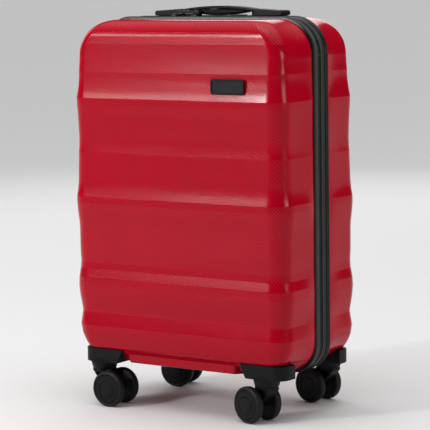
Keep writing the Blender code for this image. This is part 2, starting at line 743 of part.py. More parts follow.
# --- Nameplate --------------------------------------------------------------------------------------
def make_badge():
    """A plate in a raised frame, standing off the front face by the shell's own slope."""
    low = BADGE_Z - BADGE_HEIGHT / 2
    back = HALF_DEPTH - rib_inset(low) + GAP
    middle = -(back + BADGE_THICK / 2)

    def outline(inset, radius):
        x = BADGE_LENGTH / 2 - inset - radius
        y = BADGE_HEIGHT / 2 - inset - radius
        points = arc(x, y, radius, 0, 90, 3) + arc(-x, y, radius, 90, 180, 3)
        return points + arc(-x, -y, radius, 180, 270, 3) + arc(x, -y, radius, 270, 360, 3)

    rings = (outline(0, 0.004), outline(BADGE_FRAME, 0.0022))
    frame = plate_mesh("badge_frame", rings, BADGE_THICK)
    add_part("badge_frame", frame, BLACK_PLASTIC, (BADGE_X, middle, BADGE_Z), (pi / 2, 0, 0))
    plate = plate_mesh("badge_plate", (outline(BADGE_FRAME + GAP, 0.0020),), PLATE_THICK)
    middle = -(back + PLATE_THICK / 2)
    add_part("badge_plate", plate, GREY_PLASTIC, (BADGE_X, middle, BADGE_Z), (pi / 2, 0, 0))


# --- Casters ----------------------------------------------------------------------------------------
def housing_outline(right, side):
    """The corner block seen from above, with the case's own rounded corner."""
    radius = CORNER_RADIUS - HOUSING_INSET
    half_x = HALF_WIDTH - HOUSING_INSET
    half_y = HALF_DEPTH - HOUSING_INSET
    inner_x, inner_y = HOUSING_INNER_X - HOUSING_SLANT, HOUSING_INNER_Y
    points = [(inner_x, inner_y), (half_x, inner_y)]
    points += arc(half_x - radius, half_y - radius, radius, 0, 90, 4)
    points.append((inner_x, half_y))
    turned = [(right * x, side * y) for x, y in points]
    return turned[:: right * side]


def make_housing(word, right, side):
    """A corner cap that wraps the shell's bottom corner and holds the swivel neck."""
    name = f"caster_housing_{word}"
    middle = (HOUSING_BOTTOM + HOUSING_TOP) / 2
    block = plate_mesh(name, (housing_outline(right, side),), HOUSING_TOP - HOUSING_BOTTOM)
    housing = add_part(name, block, BLACK_PLASTIC, (0, 0, middle))

    slant = [
        (HOUSING_INNER_X - HOUSING_SLANT, HOUSING_TOP + 0.002),
        (HOUSING_INNER_X, HOUSING_BOTTOM - 0.002),
        (HOUSING_INNER_X - 0.03, HOUSING_BOTTOM - 0.002),
        (HOUSING_INNER_X - 0.03, HOUSING_TOP + 0.002),
    ]
    slant = [(right * x, z) for x, z in slant][::-right]
    mesh = plate_mesh(f"housing_slant_{word}", (slant,), 0.10)
    cut = add_cutter(f"housing_slant_{word}", mesh, (0, side * CASTER_Y, 0), (pi / 2, 0, 0))
    boolean(housing, cut, "DIFFERENCE")

    shell_word = "front" if side < 0 else "back"
    boolean(housing, CUTTERS.objects[f"{shell_word}_shell_room"], "DIFFERENCE")

    neck = rod_mesh(
        f"housing_neck_{word}", NECK_RADIUS, NECK_BOTTOM, HOUSING_BOTTOM + 0.001, 20, NECK_TOP_RADIUS
    )
    place = (right * CASTER_X, side * CASTER_Y, 0)
    boolean(housing, add_cutter(f"housing_neck_{word}", neck, place), "UNION")
    reach = KINGPIN_RADIUS + GAP
    bore = rod_mesh(f"kingpin_bore_{word}", reach, NECK_BOTTOM - 0.01, KINGPIN_TOP + GAP, 12)
    boolean(housing, add_cutter(f"kingpin_bore_{word}", bore, place), "DIFFERENCE")


def make_fork(word, place, turn):
    """The swivel fork: a disc under the neck, a kingpin and a web down to the axle boss."""
    top = NECK_BOTTOM - GAP
    shoulder = top - 1.4 * FORK_DISC_THICK
    outline = [(FORK_HALF_LENGTH, top), (-FORK_HALF_LENGTH, top), (-FORK_HALF_LENGTH, shoulder)]
    outline += arc(TRAIL, WHEEL_RADIUS, FORK_BOSS, 225, 405, 6)
    outline += [(FORK_HALF_LENGTH, shoulder)]
    name = f"caster_fork_{word}"
    web = plate_mesh(name, (outline,), 2 * FORK_HALF_THICK)
    shape = bmesh.new()
    shape.from_mesh(web)
    for vertex in shape.verts:
        vertex.co.y, vertex.co.z = -vertex.co.z, vertex.co.y
    fork = add_part(name, finished(name, shape), BLACK_PLASTIC, place, (0, 0, turn))
    disc_low = top - FORK_DISC_THICK
    disc = rod_mesh(f"fork_disc_{word}", FORK_DISC, disc_low, top + GAP / 3, 20)
    boolean(fork, add_cutter(f"fork_disc_{word}", disc, place, (0, 0, turn)), "UNION")
    pin = rod_mesh(f"kingpin_{word}", KINGPIN_RADIUS, disc_low + 0.0005, KINGPIN_TOP, 12)
    boolean(fork, add_cutter(f"kingpin_{word}", pin, place, (0, 0, turn)), "UNION")
    return fork


def wheel_profile():
    half = WHEEL_WIDTH / 2
    bore = AXLE_RADIUS + AXLE_PLAY
    return [
        (0.0, half + WHEEL_DOME),
        (WHEEL_RADIUS * 0.60, half + WHEEL_DOME * 0.5),
        (WHEEL_RADIUS * 0.88, half),
        (WHEEL_RADIUS, half - 0.003),
        (WHEEL_RADIUS, 0.003 - half),
        (WHEEL_RADIUS * 0.92, -half),
        (bore, -half),
        (bore, AXLE_IN_WHEEL + AXLE_PLAY),
        (0.0, AXLE_IN_WHEEL + AXLE_PLAY),
    ]


def make_caster(word, right, side, angle):
    place = (right * CASTER_X, side * CASTER_Y, 0)
    turn = radians(angle)
    make_housing(word, right, side)
    fork = make_fork(word, place, turn)
    axle_x = place[0] + TRAIL * cos(turn)
    axle_y = place[1] + TRAIL * sin(turn)
    bore = rod_mesh(f"axle_bore_{word}", AXLE_RADIUS + GAP / 2, -0.03, 0.03, 12)
    where = (axle_x, axle_y, WHEEL_RADIUS)
    boolean(fork, add_cutter(f"axle_bore_{word}", bore, where, (pi / 2, 0, turn)), "DIFFERENCE")
    reach = WHEEL_SPREAD + AXLE_IN_WHEEL
    axle = rod_mesh(f"caster_axle_{word}", AXLE_RADIUS, -reach, reach, 12)
    add_part(f"caster_axle_{word}", axle, STEEL_ZIP, where, (pi / 2, 0, turn))
    for hand, sign in (("a", 1), ("b", -1)):
        x = axle_x - sign * WHEEL_SPREAD * sin(turn)
        y = axle_y + sign * WHEEL_SPREAD * cos(turn)
        name = f"wheel_{word}_{hand}"
        mesh = turned_mesh(name, wheel_profile(), WHEEL_STEPS)
        add_part(name, mesh, BLACK_TYRE, (x, y, WHEEL_RADIUS), (-sign * pi / 2, 0, turn))


def hang_front_half():
    """Parents what opens with the lid to an empty on the hinge axis."""
    hinge = bpy.data.objects.new("lid_hinge", None)
    PARTS.objects.link(hinge)
    hinge.location = (HINGE_X, 0, HINGE_Z)
    bpy.context.view_layer.update()
    for item in PARTS.objects:
        swings = item.name.startswith(("front_", "badge_"))
        if swings or item.name.startswith("caster_housing_front"):
            item.parent = hinge
            item.matrix_parent_inverse = hinge.matrix_world.inverted()


def main():
    make_shell("front_shell", -1)
    back = make_shell("back_shell", 1)
    for word, side in (("front", -1), ("back", 1)):
        room = shell_surface(f"{word}_shell_room", side, HOUSING_CLEARANCE, closed=True)
        add_cutter(f"{word}_shell_room", room)
    make_seam()
    make_lining("front_lining", -1, HALF_DEPTH - FRONT_LINING_SEAT)
    back_depth = BRACKET_FRONT_Y - GAP
    make_lining("back_lining", 1, back_depth)
    make_straps(back_depth - LINING_WALL)
    make_trolley(back)
    make_carry_handle(back)
    make_lock()
    make_zip_sliders()
    make_badge()
    for word, (right, side, angle) in CASTERS.items():
        make_caster(word, right, side, angle)
    hang_front_half()


clear_scene()
PARTS = collection("cabin_suitcase")
CUTTERS = collection("cutters")
RED_SHELL = material("red_shell", RED, 0.32)
BLACK_RUBBER = material("black_rubber", BLACK, 0.55)
BLACK_PLASTIC = material("black_plastic", BLACK, 0.45)
BLACK_FABRIC = material("black_fabric", BLACK, 0.85)
BLACK_TYRE = material("black_tyre", BLACK, 0.50)
GREY_PLASTIC = material("grey_plastic", GREY, 0.40)
GREY_CLOTH = material("grey_cloth", GREY, 0.90)
ALUMINIUM = material("aluminium", STEEL, 0.30, 1.0)
STEEL_ZIP = material("zip_steel", STEEL, 0.30, 1.0)
main()
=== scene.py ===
"""Looks for a ribbed hard shell cabin suitcase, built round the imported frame."""

import json
from math import cos, pi, radians, sin, sqrt

import bmesh
import bpy
from mathutils import Matrix, Vector


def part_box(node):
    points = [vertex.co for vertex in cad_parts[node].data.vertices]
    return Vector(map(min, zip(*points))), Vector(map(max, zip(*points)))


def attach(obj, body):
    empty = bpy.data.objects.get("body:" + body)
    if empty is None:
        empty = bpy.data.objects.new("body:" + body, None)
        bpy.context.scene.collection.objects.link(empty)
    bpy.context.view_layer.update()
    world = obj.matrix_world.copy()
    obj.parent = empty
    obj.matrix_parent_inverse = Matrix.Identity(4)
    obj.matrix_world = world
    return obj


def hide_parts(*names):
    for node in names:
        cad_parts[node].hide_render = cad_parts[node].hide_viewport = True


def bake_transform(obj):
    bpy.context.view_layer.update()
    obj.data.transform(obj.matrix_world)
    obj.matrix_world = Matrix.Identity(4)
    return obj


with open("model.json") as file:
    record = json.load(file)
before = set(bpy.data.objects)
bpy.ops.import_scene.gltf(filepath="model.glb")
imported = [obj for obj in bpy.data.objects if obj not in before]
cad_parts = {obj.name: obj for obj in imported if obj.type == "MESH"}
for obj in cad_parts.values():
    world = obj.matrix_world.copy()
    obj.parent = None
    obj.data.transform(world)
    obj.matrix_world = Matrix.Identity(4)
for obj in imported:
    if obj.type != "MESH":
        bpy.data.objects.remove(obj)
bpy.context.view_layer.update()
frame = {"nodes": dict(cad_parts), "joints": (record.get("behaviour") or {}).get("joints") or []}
NODES = frame["nodes"]
JOINTS = {joint["name"]: joint for joint in frame["joints"]}
GAP = 0.0003
SIDES = (("front", -1, "front_half"), ("back", 1, "root"))
CORNERS = ("front_right", "rear_right", "front_left", "rear_left")


# --- Materials ---
def set_span(node, low, high, to_low, to_high):
    limits = {"From Min": low, "From Max": high, "To Min": to_low, "To Max": to_high}
    for socket, number in limits.items():
        node.inputs[socket].default_value = number


class Look:
    """A Principled material with short helpers for its nodes."""

    def __init__(self, name, colour, roughness, metallic=0.0, specular=0.5, **settings):
        self.material = bpy.data.materials.new(name)
        self.material.use_nodes = True
        self.nodes = self.material.node_tree.nodes
        self.links = self.material.node_tree.links
        self.shader = self.nodes["Principled BSDF"]
        self.colour = colour
        self.set("Base Color", (*colour, 1))
        self.set("Roughness", roughness)
        self.set("Metallic", metallic)
        self.set("Specular IOR Level", specular)
        for socket, value in settings.items():
            self.set(socket.replace("_", " "), value)
        self.relief = None

    def set(self, socket, value):
        self.shader.inputs[socket].default_value = value

    def link(self, start, end):
        self.links.new(start, end)

    def node(self, kind, **values):
        made = self.nodes.new(f"ShaderNode{kind}")
        for key, value in values.items():
            setattr(made, key, value)
        return made

    def place(self, space="Object", scale=(1, 1, 1), turn=(0, 0, 0), uv=None):
        """Coordinates in metres, from the object or from a UV map, scaled and turned."""
        if uv:
            source = self.node("UVMap", uv_map=uv).outputs[0]
        else:
            source = self.node("TexCoord").outputs[space]
        mapping = self.node("Mapping")
        mapping.inputs["Scale"].default_value = scale
        mapping.inputs["Rotation"].default_value = turn
        self.link(source, mapping.inputs["Vector"])
        return mapping.outputs[0]

    def noise(self, where, scale, detail=3.0, roughness=0.55):
        made = self.node("TexNoise")
        made.inputs["Scale"].default_value = scale
        made.inputs["Detail"].default_value = detail
        made.inputs["Roughness"].default_value = roughness
        self.link(where, made.inputs["Vector"])
        return made.outputs[0]

    def math(self, operation, first, second=None, third=None, clamp=False):
        made = self.node("Math", operation=operation, use_clamp=clamp)
        for index, value in enumerate((first, second, third)):
            if value is None:
                continue
            if hasattr(value, "is_output"):
                self.link(value, made.inputs[index])
            else:
                made.inputs[index].default_value = value
        return made.outputs[0]

    def span(self, value, low, high, to_low=0.0, to_high=1.0, smooth=False):
        made = self.node("MapRange", interpolation_type="SMOOTHSTEP" if smooth else "LINEAR")
        self.link(value, made.inputs["Value"])
        set_span(made, low, high, to_low, to_high)
        return made.outputs["Result"]

    def vary_colour(self, factor, other, share=1.0):
        """Mixes the base colour towards another one by a factor between 0 and 1."""
        made = self.node("Mix", data_type="RGBA")
        if share != 1.0:
            factor = self.math("MULTIPLY", factor, share)
        self.link(factor, made.inputs["Factor"])
        source = self.shader.inputs["Base Color"]
        if source.is_linked:
            self.link(source.links[0].from_socket, made.inputs["A"])
        else:
            made.inputs["A"].default_value = (*self.colour, 1)
        made.inputs["B"].default_value = (*other, 1)
        self.link(made.outputs["Result"], source)

    def vary_roughness(self, factor, low, high):
        self.link(self.span(factor, 0, 1, low, high), self.shader.inputs["Roughness"])

    def bump(self, height, depth, strength=1.0):
        """Adds a layer of relief; depth is in metres."""
        made = self.node("Bump")
        made.inputs["Strength"].default_value = strength
        made.inputs["Distance"].default_value = depth
        self.link(height, made.inputs["Height"])
        if self.relief:
            self.link(self.relief, made.inputs["Normal"])
        self.relief = made.outputs[0]
        self.link(self.relief, self.shader.inputs["Normal"])

    def worn(self, gloss, tint, grain):
        """Uneven gloss, blotches of a second tint and a fine grain, each from its own noise."""
        where = self.place()
        scale, detail, low, high = gloss
        self.vary_roughness(self.noise(where, scale, detail), low, high)
        scale, detail, start, end, other, share = tint
        self.vary_colour(self.span(self.noise(where, scale, detail), start, end), other, share)
        scale, detail, depth, strength = grain
        self.bump(self.noise(where, scale, detail), depth, strength)
        return self.material


RED = (0.44, 0.0004, 0.0140)
RED_DEEP = (0.38, 0.0004, 0.0110)
# Painted shade: the colour the dots of the shell's relief are darkened to, standing in for the shade in the
# dots.
DOT_SHADE_RED = (0.17, 0.0002, 0.0040)
BLACK = (0.0042, 0.0042, 0.0046)
RUBBER_BLACK = (0.0050, 0.0050, 0.0053)
DOT_PITCH = 0.0036


def red_shell():
    look = Look("red_shell", RED, 0.20, specular=0.17)
    where = look.place()
    look.vary_colour(look.span(look.noise(where, 14, 4), 0.35, 0.7), RED_DEEP, 0.5)
    look.vary_roughness(look.noise(where, 240, 2), 0.12, 0.18)
    normal = look.node("SeparateXYZ")
    look.link(look.node("TexCoord").outputs["Normal"], normal.inputs[0])
    faces_front = look.span(look.math("ABSOLUTE", normal.outputs["Y"]), 0.10, 0.45, 0.12, 1, True)
    cells = look.node("TexVoronoi", voronoi_dimensions="2D", feature="F1")
    cells.inputs["Scale"].default_value = 1.0
    cells.inputs["Randomness"].default_value = 0.0
    scale = 1 / DOT_PITCH
    look.link(look.place(uv="surface", scale=(scale, scale, 1), turn=(0, 0, pi / 4)), cells.inputs[0])
    dots = look.span(cells.outputs["Distance"], 0.28, 0.42, 1.0, 0.0, True)
    dots = look.math("MULTIPLY", dots, faces_front)
    # Painted shade: each dot is darkened in colour, only on faces turned to the front or back; its real
    # relief is the bump below.
    look.vary_colour(dots, DOT_SHADE_RED, 0.75)
    look.bump(dots, 0.00010, 0.6)
    look.bump(look.noise(where, 700, 2), 0.00003, 0.5)
    return look.material


def trim_black(name="trim_black", colour=BLACK, roughness=0.42):
    look = Look(name, colour, roughness, specular=0.14)
    lighter = tuple(2.1 * c for c in colour)
    return look.worn((90, 3, roughness - 0.06, roughness + 0.08), (40, 3, 0.4, 0.7, lighter, 0.4),
                     (2600, 2, 0.00006, 0.6))


def soft_rubber():
    look = Look("soft_rubber", RUBBER_BLACK, 0.5, specular=0.14)
    return look.worn((60, 4, 0.44, 0.60), (150, 3, 0.45, 0.75, (0.013, 0.013, 0.014), 0.5),
                     (1900, 3, 0.00010, 0.6))


def piping_rubber():
    look = Look("piping_rubber", (0.0040, 0.0055, 0.0050), 0.34, specular=0.32)
    return look.worn((120, 3, 0.28, 0.42), (55, 3, 0.4, 0.75, (0.008, 0.014, 0.012), 0.6),
                     (1500, 2, 0.00007, 0.5))


def wheel_rubber():
    look = Look("wheel_rubber", RUBBER_BLACK, 0.52, specular=0.25)
    return look.worn((130, 4, 0.44, 0.66), (210, 4, 0.48, 0.78, (0.013, 0.0125, 0.012), 0.55),
                     (1700, 3, 0.00008, 0.6))


def woven(name, colour, light, pitch, depth, uv=None, roughness=0.85, sheen=0.35):
    """A plain weave: two sets of threads that pass over and under each other."""
    look = Look(name, colour, roughness, specular=0.25, Sheen_Weight=sheen)
    look.set("Sheen Roughness", 0.45)
    where = look.place(uv=uv, scale=(1 / pitch, 1 / pitch, 1 / pitch))
    parts = look.node("SeparateXYZ")
    look.link(where, parts.inputs[0])
    across = parts.outputs["X"]
    along = parts.outputs["Y"] if uv else parts.outputs["Z"]
    warp = look.math("SINE", look.math("MULTIPLY", across, 2 * pi))
    weft = look.math("SINE", look.math("MULTIPLY", along, 2 * pi))
    height = look.span(look.math("MULTIPLY", warp, weft), -1, 1)
    look.bump(height, depth, 0.8)
    # Painted shade: the weave's hollows are coloured darker and its raised threads lighter, following the
    # bump height; the blotches below are random tone.
    look.vary_colour(height, light, 0.55)
    blotch = look.noise(look.place(), 28, 4)
    look.vary_colour(look.span(blotch, 0.45, 0.75), light, 0.35)
    return look.material


def webbing():
    look = Look("webbing", (0.010, 0.010, 0.011), 0.75, specular=0.3, Sheen_Weight=0.3)
    where = look.place(uv="surface", scale=(1 / 0.0016, 1 / 0.0009, 1))
    parts = look.node("SeparateXYZ")
    look.link(where, parts.inputs[0])
    rows = look.math("SINE", look.math("MULTIPLY", parts.outputs["Y"], 2 * pi))
    cords = look.math("ABSOLUTE", look.math("SINE", look.math("MULTIPLY", parts.outputs["X"], pi)))
    height = look.math("MULTIPLY_ADD", rows, 0.35, cords)
    look.bump(height, 0.00022, 0.8)
    # Painted shade: the webbing's hollows are coloured darker and its raised cords lighter, following the
    # bump height.
    look.vary_colour(look.span(height, 0.2, 1.2), (0.026, 0.026, 0.028), 0.7)
    return look.material


def drawn_metal(name, colour, roughness, stretch=(900, 900, 8)):
    look = Look(name, colour, roughness, metallic=1.0)
    streaks = look.noise(look.place(scale=stretch), 1.0, 4)
    look.vary_roughness(streaks, roughness - 0.07, roughness + 0.12)
    look.bump(streaks, 0.00002, 0.5)
    look.vary_colour(look.span(streaks, 0.4, 0.7), tuple(0.8 * c for c in colour), 0.5)
    return look.material


# Each look is a material with the name of its slot in the record.
SHELL = red_shell(), "shell_red"
TRIM = trim_black(), "trim_black"
TEETH = TRIM[0], "zip_tape"
DISC = trim_black("wheel_disc", (0.0042, 0.0042, 0.0045), 0.30), "wheel_black"
TYRE = wheel_rubber(), "wheel_black"
RUBBER = soft_rubber(), "handle_rubber"
PIPING = piping_rubber(), "rim_rubber"
TAPE = (woven("zip_tape_weave", (0.0045, 0.0047, 0.0050), (0.010, 0.011, 0.0115), 0.0012, 0.00014,
              "surface"), "zip_tape")
CLOTH = woven("lining_weave", (0.040, 0.040, 0.045), (0.070, 0.070, 0.078), 0.0009, 0.00010), "lining_cloth"
WEBBING = webbing(), "strap_webbing"
THREAD = woven("thread", (0.013, 0.013, 0.014), (0.030, 0.030, 0.032), 0.0005, 0.00005), "zip_tape"
TUBE = drawn_metal("tube_aluminium", (0.60, 0.60, 0.62), 0.30), "tube_aluminium"
NICKEL = drawn_metal("zip_nickel", (0.045, 0.045, 0.050), 0.30, (300, 300, 300)), "zip_metal"
AXLE = drawn_metal("axle_steel", (0.50, 0.50, 0.52), 0.30, (700, 700, 700)), "axle_steel"
GREY = trim_black("accent_grey", (0.060, 0.060, 0.064), 0.38), "accent_grey"
PLATE = trim_black("badge_plate", (0.012, 0.014, 0.015), 0.24), "badge_plate"
DIGIT = trim_black("dial_digits", (0.55, 0.55, 0.56), 0.45), "accent_grey"


# --- Mesh helpers ---
def smooth(mesh, angle=35):
    mesh.shade_smooth()
    mesh.set_sharp_from_angle(angle=radians(angle))


def linked(name, data):
    item = bpy.data.objects.new(name, data)
    bpy.context.scene.collection.objects.link(item)
    return item


def dressed(name, mesh, body, look, stands_for=()):
    """An object with its look; a body of None leaves the ride for later."""
    item = linked(name, mesh)
    mesh.materials.append(look[0])
    if stands_for:
        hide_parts(*stands_for)
    if body:
        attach(item, body)
    return item


def piece(name, points, faces, body, look, stands_for=(), uvs=None, angle=35):
    """A mesh that rides on a body; uvs are in metres, one for each corner of each face."""
    mesh = bpy.data.meshes.new(name)
    mesh.from_pydata([tuple(p) for p in points], [], faces)
    mesh.validate()
    if uvs:
        layer = mesh.uv_layers.new(name="surface")
        for corner, uv in zip(layer.data, uvs):
            corner.uv = uv
    smooth(mesh, angle)
    return dressed(name, mesh, body, look, stands_for)


def outward(item):
    shape = bmesh.new()
    shape.from_mesh(item.data)
    bmesh.ops.recalc_face_normals(shape, faces=shape.faces)
    shape.to_mesh(item.data)
    shape.free()
    return item


def bevel(item, width, segments=3, angle=30):
    made = item.modifiers.new("bevel", "BEVEL")
    made.width = width
    made.segments = segments
    made.limit_method = "ANGLE"
    made.angle_limit = radians(angle)


def weighted(item):
    made = item.modifiers.new("normals", "WEIGHTED_NORMAL")
    made.keep_sharp = True
    made.weight = 60
    return item


def apply_modifiers(item):
    graph = bpy.context.evaluated_depsgraph_get()
    mesh = bpy.data.meshes.new_from_object(item.evaluated_get(graph))
    item.modifiers.clear()
    item.data = mesh
    return item


def thicken(item, thickness, offset=-1.0):
    """Gives an open surface its wall, and makes the wall part of the mesh."""
    wall = item.modifiers.new("wall", "SOLIDIFY")
    wall.thickness = thickness
    wall.offset = offset
    bpy.context.view_layer.update()
    return apply_modifiers(item)


def quads(rows, wrap=False, start=0):
    """Faces between successive rows of equal length; wrap closes each row on itself."""
    faces = []
    for row in range(rows[0] - 1):
        for i in range(rows[1] if wrap else rows[1] - 1):
            a = start + row * rows[1] + i
            b = start + row * rows[1] + (i + 1) % rows[1]
            faces.append((a, b, b + rows[1], a + rows[1]))
    return faces


BLOCK_FACES = ((0, 2, 3, 1), (4, 5, 7, 6), (0, 1, 5, 4), (2, 6, 7, 3), (0, 4, 6, 2), (1, 3, 7, 5))


def block(low, high):
    """The eight corners between two opposite ones, in the order that BLOCK_FACES takes them."""
    (x0, y0, z0), (x1, y1, z1) = low, high
    return [(x, y, z) for z in (z0, z1) for y in (y0, y1) for x in (x0, x1)]


def rounded_box(name, low, high, width, body, look):
    """A block with rounded edges."""
    item = piece(name, block(low, high), BLOCK_FACES, body, look)
    bevel(item, width, 4)
    return weighted(item)


def plate(name, outline, low, high, axis, body, look, stands_for=(), holes=(), edge=0.0004):
    """An outline in a plane, with holes, extruded along 'x', 'y' or 'z' between two distances."""
    shape = bmesh.new()
    loops = []
    for ring in (outline, *holes):
        verts = [shape.verts.new((u, v, 0)) for u, v in ring]
        loops += [shape.edges.new((a, b)) for a, b in zip(verts, verts[1:] + verts[:1])]
    bmesh.ops.triangle_fill(shape, use_beauty=True, edges=loops)
    made = bmesh.ops.extrude_face_region(shape, geom=list(shape.faces))
    for vert in made["geom"]:
        if isinstance(vert, bmesh.types.BMVert):
            vert.co.z = 1
    for vert in shape.verts:
        u, v, t = vert.co
        t = low + (high - low) * t
        vert.co = {"x": (t, u, v), "y": (u, t, v), "z": (u, v, t)}[axis]
    bmesh.ops.recalc_face_normals(shape, faces=shape.faces)
    mesh = bpy.data.meshes.new(name)
    shape.to_mesh(mesh)
    shape.free()
    smooth(mesh)
    item = dressed(name, mesh, body, look, stands_for)
    if edge:
        bevel(item, edge, 2, 40)
        weighted(item)
    return item


def rounded_rectangle(half_u, half_v, radius, centre=(0, 0), steps=6):
    points = []
    corners = ((1, 1, 0), (-1, 1, 90), (-1, -1, 180), (1, -1, 270))
    for su, sv, start in corners:
        for step in range(steps + 1):
            turn = radians(start + 90 * step / steps)
            points.append((
                centre[0] + su * (half_u - radius) + radius * cos(turn),
                centre[1] + sv * (half_v - radius) + radius * sin(turn),
            ))
    return points


def circle(centre, radius, steps=24):
    return [
        (centre[0] + radius * cos(2 * pi * i / steps), centre[1] + radius * sin(2 * pi * i / steps))
        for i in range(steps)
    ]


LEAST_RADIUS = 0.00001


def turned(name, profile, centre, axis, body, look, stands_for=(), steps=48, closed=False):
    """A profile of (radius, distance along the axis) turned about an axis through centre."""
    axis = Vector(axis).normalized()
    side = axis.orthogonal().normalized()
    up = axis.cross(side)
    points = []
    for radius, along in profile:
        for i in range(steps):
            turn = 2 * pi * i / steps
            spoke = side * cos(turn) + up * sin(turn)
            points.append(Vector(centre) + axis * along + spoke * max(radius, LEAST_RADIUS))
    rows = len(profile)
    faces = quads((rows, steps), wrap=True)
    if closed:
        last = (rows - 1) * steps
        faces += [(last + i, last + (i + 1) % steps, (i + 1) % steps, i) for i in range(steps)]
    else:
        faces += [tuple(range(steps))[::-1], tuple(range((rows - 1) * steps, rows * steps))]
    return outward(piece(name, points, faces, body, look, stands_for))


def joined(name, parts, body, look):
    """One mesh from several lists of (points, faces)."""
    points, faces = [], []
    for some_points, some_faces in parts:
        shift = len(points)
        points += some_points
        faces += [tuple(shift + i for i in face) for face in some_faces]
    return piece(name, points, faces, body, look)


# --- Red shells ---
SHELL_LOW, SHELL_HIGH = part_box("front_shell")
HALF_WIDTH = SHELL_HIGH.x
HALF_DEPTH = -SHELL_LOW.y
TOP = SHELL_HIGH.z
BOTTOM = SHELL_LOW.z
CORNER = 0.028
WALL = 0.0022
SHARP_FROM = 30
SEAM_Y = 0.019
TOP_SIDE, TOP_FACE = 0.050, 0.023
BOTTOM_SIDE, BOTTOM_FACE = 0.040, 0.025
# Height above the shell's bottom, how far the walls stand in there, and how sharply the wall flares
# above that line: 1 is straight, more starts steep and ends upright.
WAVES = (
    (0.0000, 0.0170, 1), (0.0019, 0.0150, 1), (0.0176, 0.0125, 1), (0.0180, 0.0090, 1),
    (0.0299, 0.0063, 1), (0.0394, 0.0038, 1), (0.0508, 0.0021, 1), (0.0570, 0.0030, 1),
    (0.0698, 0.0050, 1), (0.0740, 0.0046, 1), (0.0903, 0.0018, 1.3), (0.1059, 0.0004, 1),
    (0.1180, 0.0010, 1), (0.1311, 0.0034, 1), (0.1411, 0.0040, 1), (0.1572, 0.0032, 1),
    (0.1860, 0.0031, 1), (0.1952, 0.0026, 1), (0.2104, 0.0009, 1), (0.2223, 0.0000, 1),
    (0.2318, 0.0002, 2.0), (0.2610, 0.0031, 1.3), (0.2931, 0.0040, 2.2), (0.3140, 0.0050, 1),
    (0.3430, 0.0038, 1), (0.3600, 0.0027, 1), (0.3681, 0.0026, 2.0), (0.4040, 0.0064, 1.9),
    (0.4432, 0.0081, 1.7), (0.4600, 0.0092, 1), (0.4750, 0.0092, 1),
)
CREASE = 0.0008
# Where the wall is read round a height, in creases, and how much each reading counts.
CREASE_TAPS = ((-1, 0.15), (-0.5, 0.2), (0, 0.3), (0.5, 0.2), (1, 0.15))
LEVEL_STEP, LEAST_STEP = 0.0024, 0.0003
EVEN_FROM = 0.018
CORNER_STEPS = 14
# Half the shell's breadth from the seam forward: distance from the closing plane, the share of the
# waves that shows there, and how far the wall is tucked in beside the piping.
FADE = ((SEAM_Y, 0.20, 0.0022), (0.0205, 0.22, 0.0018), (0.0225, 0.27, 0.0014),
        (0.026, 0.40, 0.0010), (0.030, 0.55, 0.0006), (0.036, 0.72, 0.0002), (0.042, 0.85, 0.0),
        (0.050, 0.93, 0.0), (0.060, 0.98, 0.0))
# The front's flat face: points at shares of the corner's start, then at set distances from the middle.
FACE_SHARES = (0.9, 0.78)
FACE_END, FACE_STEP = 0.74, 0.001
FACE_X = (0.096, 0.094, 0.092, 0.090, 0.088, 0.086, 0.066, 0.044, 0.022, 0.0)
# The lip under the front between the housings: where it fades out, and its height and reach.
LIP_X = (0.086, 0.094)
LIP = ((0.0000, 0.0815), (0.0012, 0.0848), (0.0035, 0.0866), (0.0120, 0.0876), (0.0132, 0.0874),
       (0.0136, 0.0858), (0.0141, 0.0858), (0.0145, 0.0886), (0.0165, 0.0896))


def along(table, value):
    """Reads a table at a value; a third column bends the run up to the next row."""
    for low, high in zip(table, table[1:]):
        if value <= high[0]:
            share = max((value - low[0]) / (high[0] - low[0]), 0.0)
            if len(low) > 2:
                share = 1 - (1 - share) ** low[2]
            return low[1] + (high[1] - low[1]) * share
    return table[-1][1]


def wave(z):
    """The inset at a height, with each crease rounded over a short length."""
    above = z - BOTTOM
    return sum(share * along(WAVES, above + CREASE * tap) for tap, share in CREASE_TAPS)


def curved_in(z, top_radius, bottom_radius):
    above = z - (TOP - top_radius)
    if above > 0:
        return top_radius - sqrt(max(top_radius**2 - above**2, 0))
    below = BOTTOM + bottom_radius - z
    if below > 0:
        return bottom_radius - sqrt(max(bottom_radius**2 - below**2, 0))
    return 0.0


def levels():
    """The heights of the shell's rows: close together at creases, round the top and at the lip."""
    heights = [BOTTOM + BOTTOM_FACE * (1 - cos(radians(10 * i))) for i in range(4)]
    heights += [BOTTOM + z for z, _ in LIP]
    z = BOTTOM + EVEN_FROM
    while z < TOP - TOP_FACE:
        heights.append(z)
        z += LEVEL_STEP
    for row in WAVES:
        if row[0] > EVEN_FROM:
            heights += [BOTTOM + row[0] + CREASE * tap for tap, _ in CREASE_TAPS]
    heights += [
        TOP - TOP_FACE * (1 - sin(radians(90 * i / CORNER_STEPS))) for i in range(CORNER_STEPS + 1)
    ]
    heights = sorted(heights)
    kept = [heights[0]]
    for z in heights[1:]:
        if z - kept[-1] > LEAST_STEP:
            kept.append(z)
    kept[-1] = TOP
    return kept


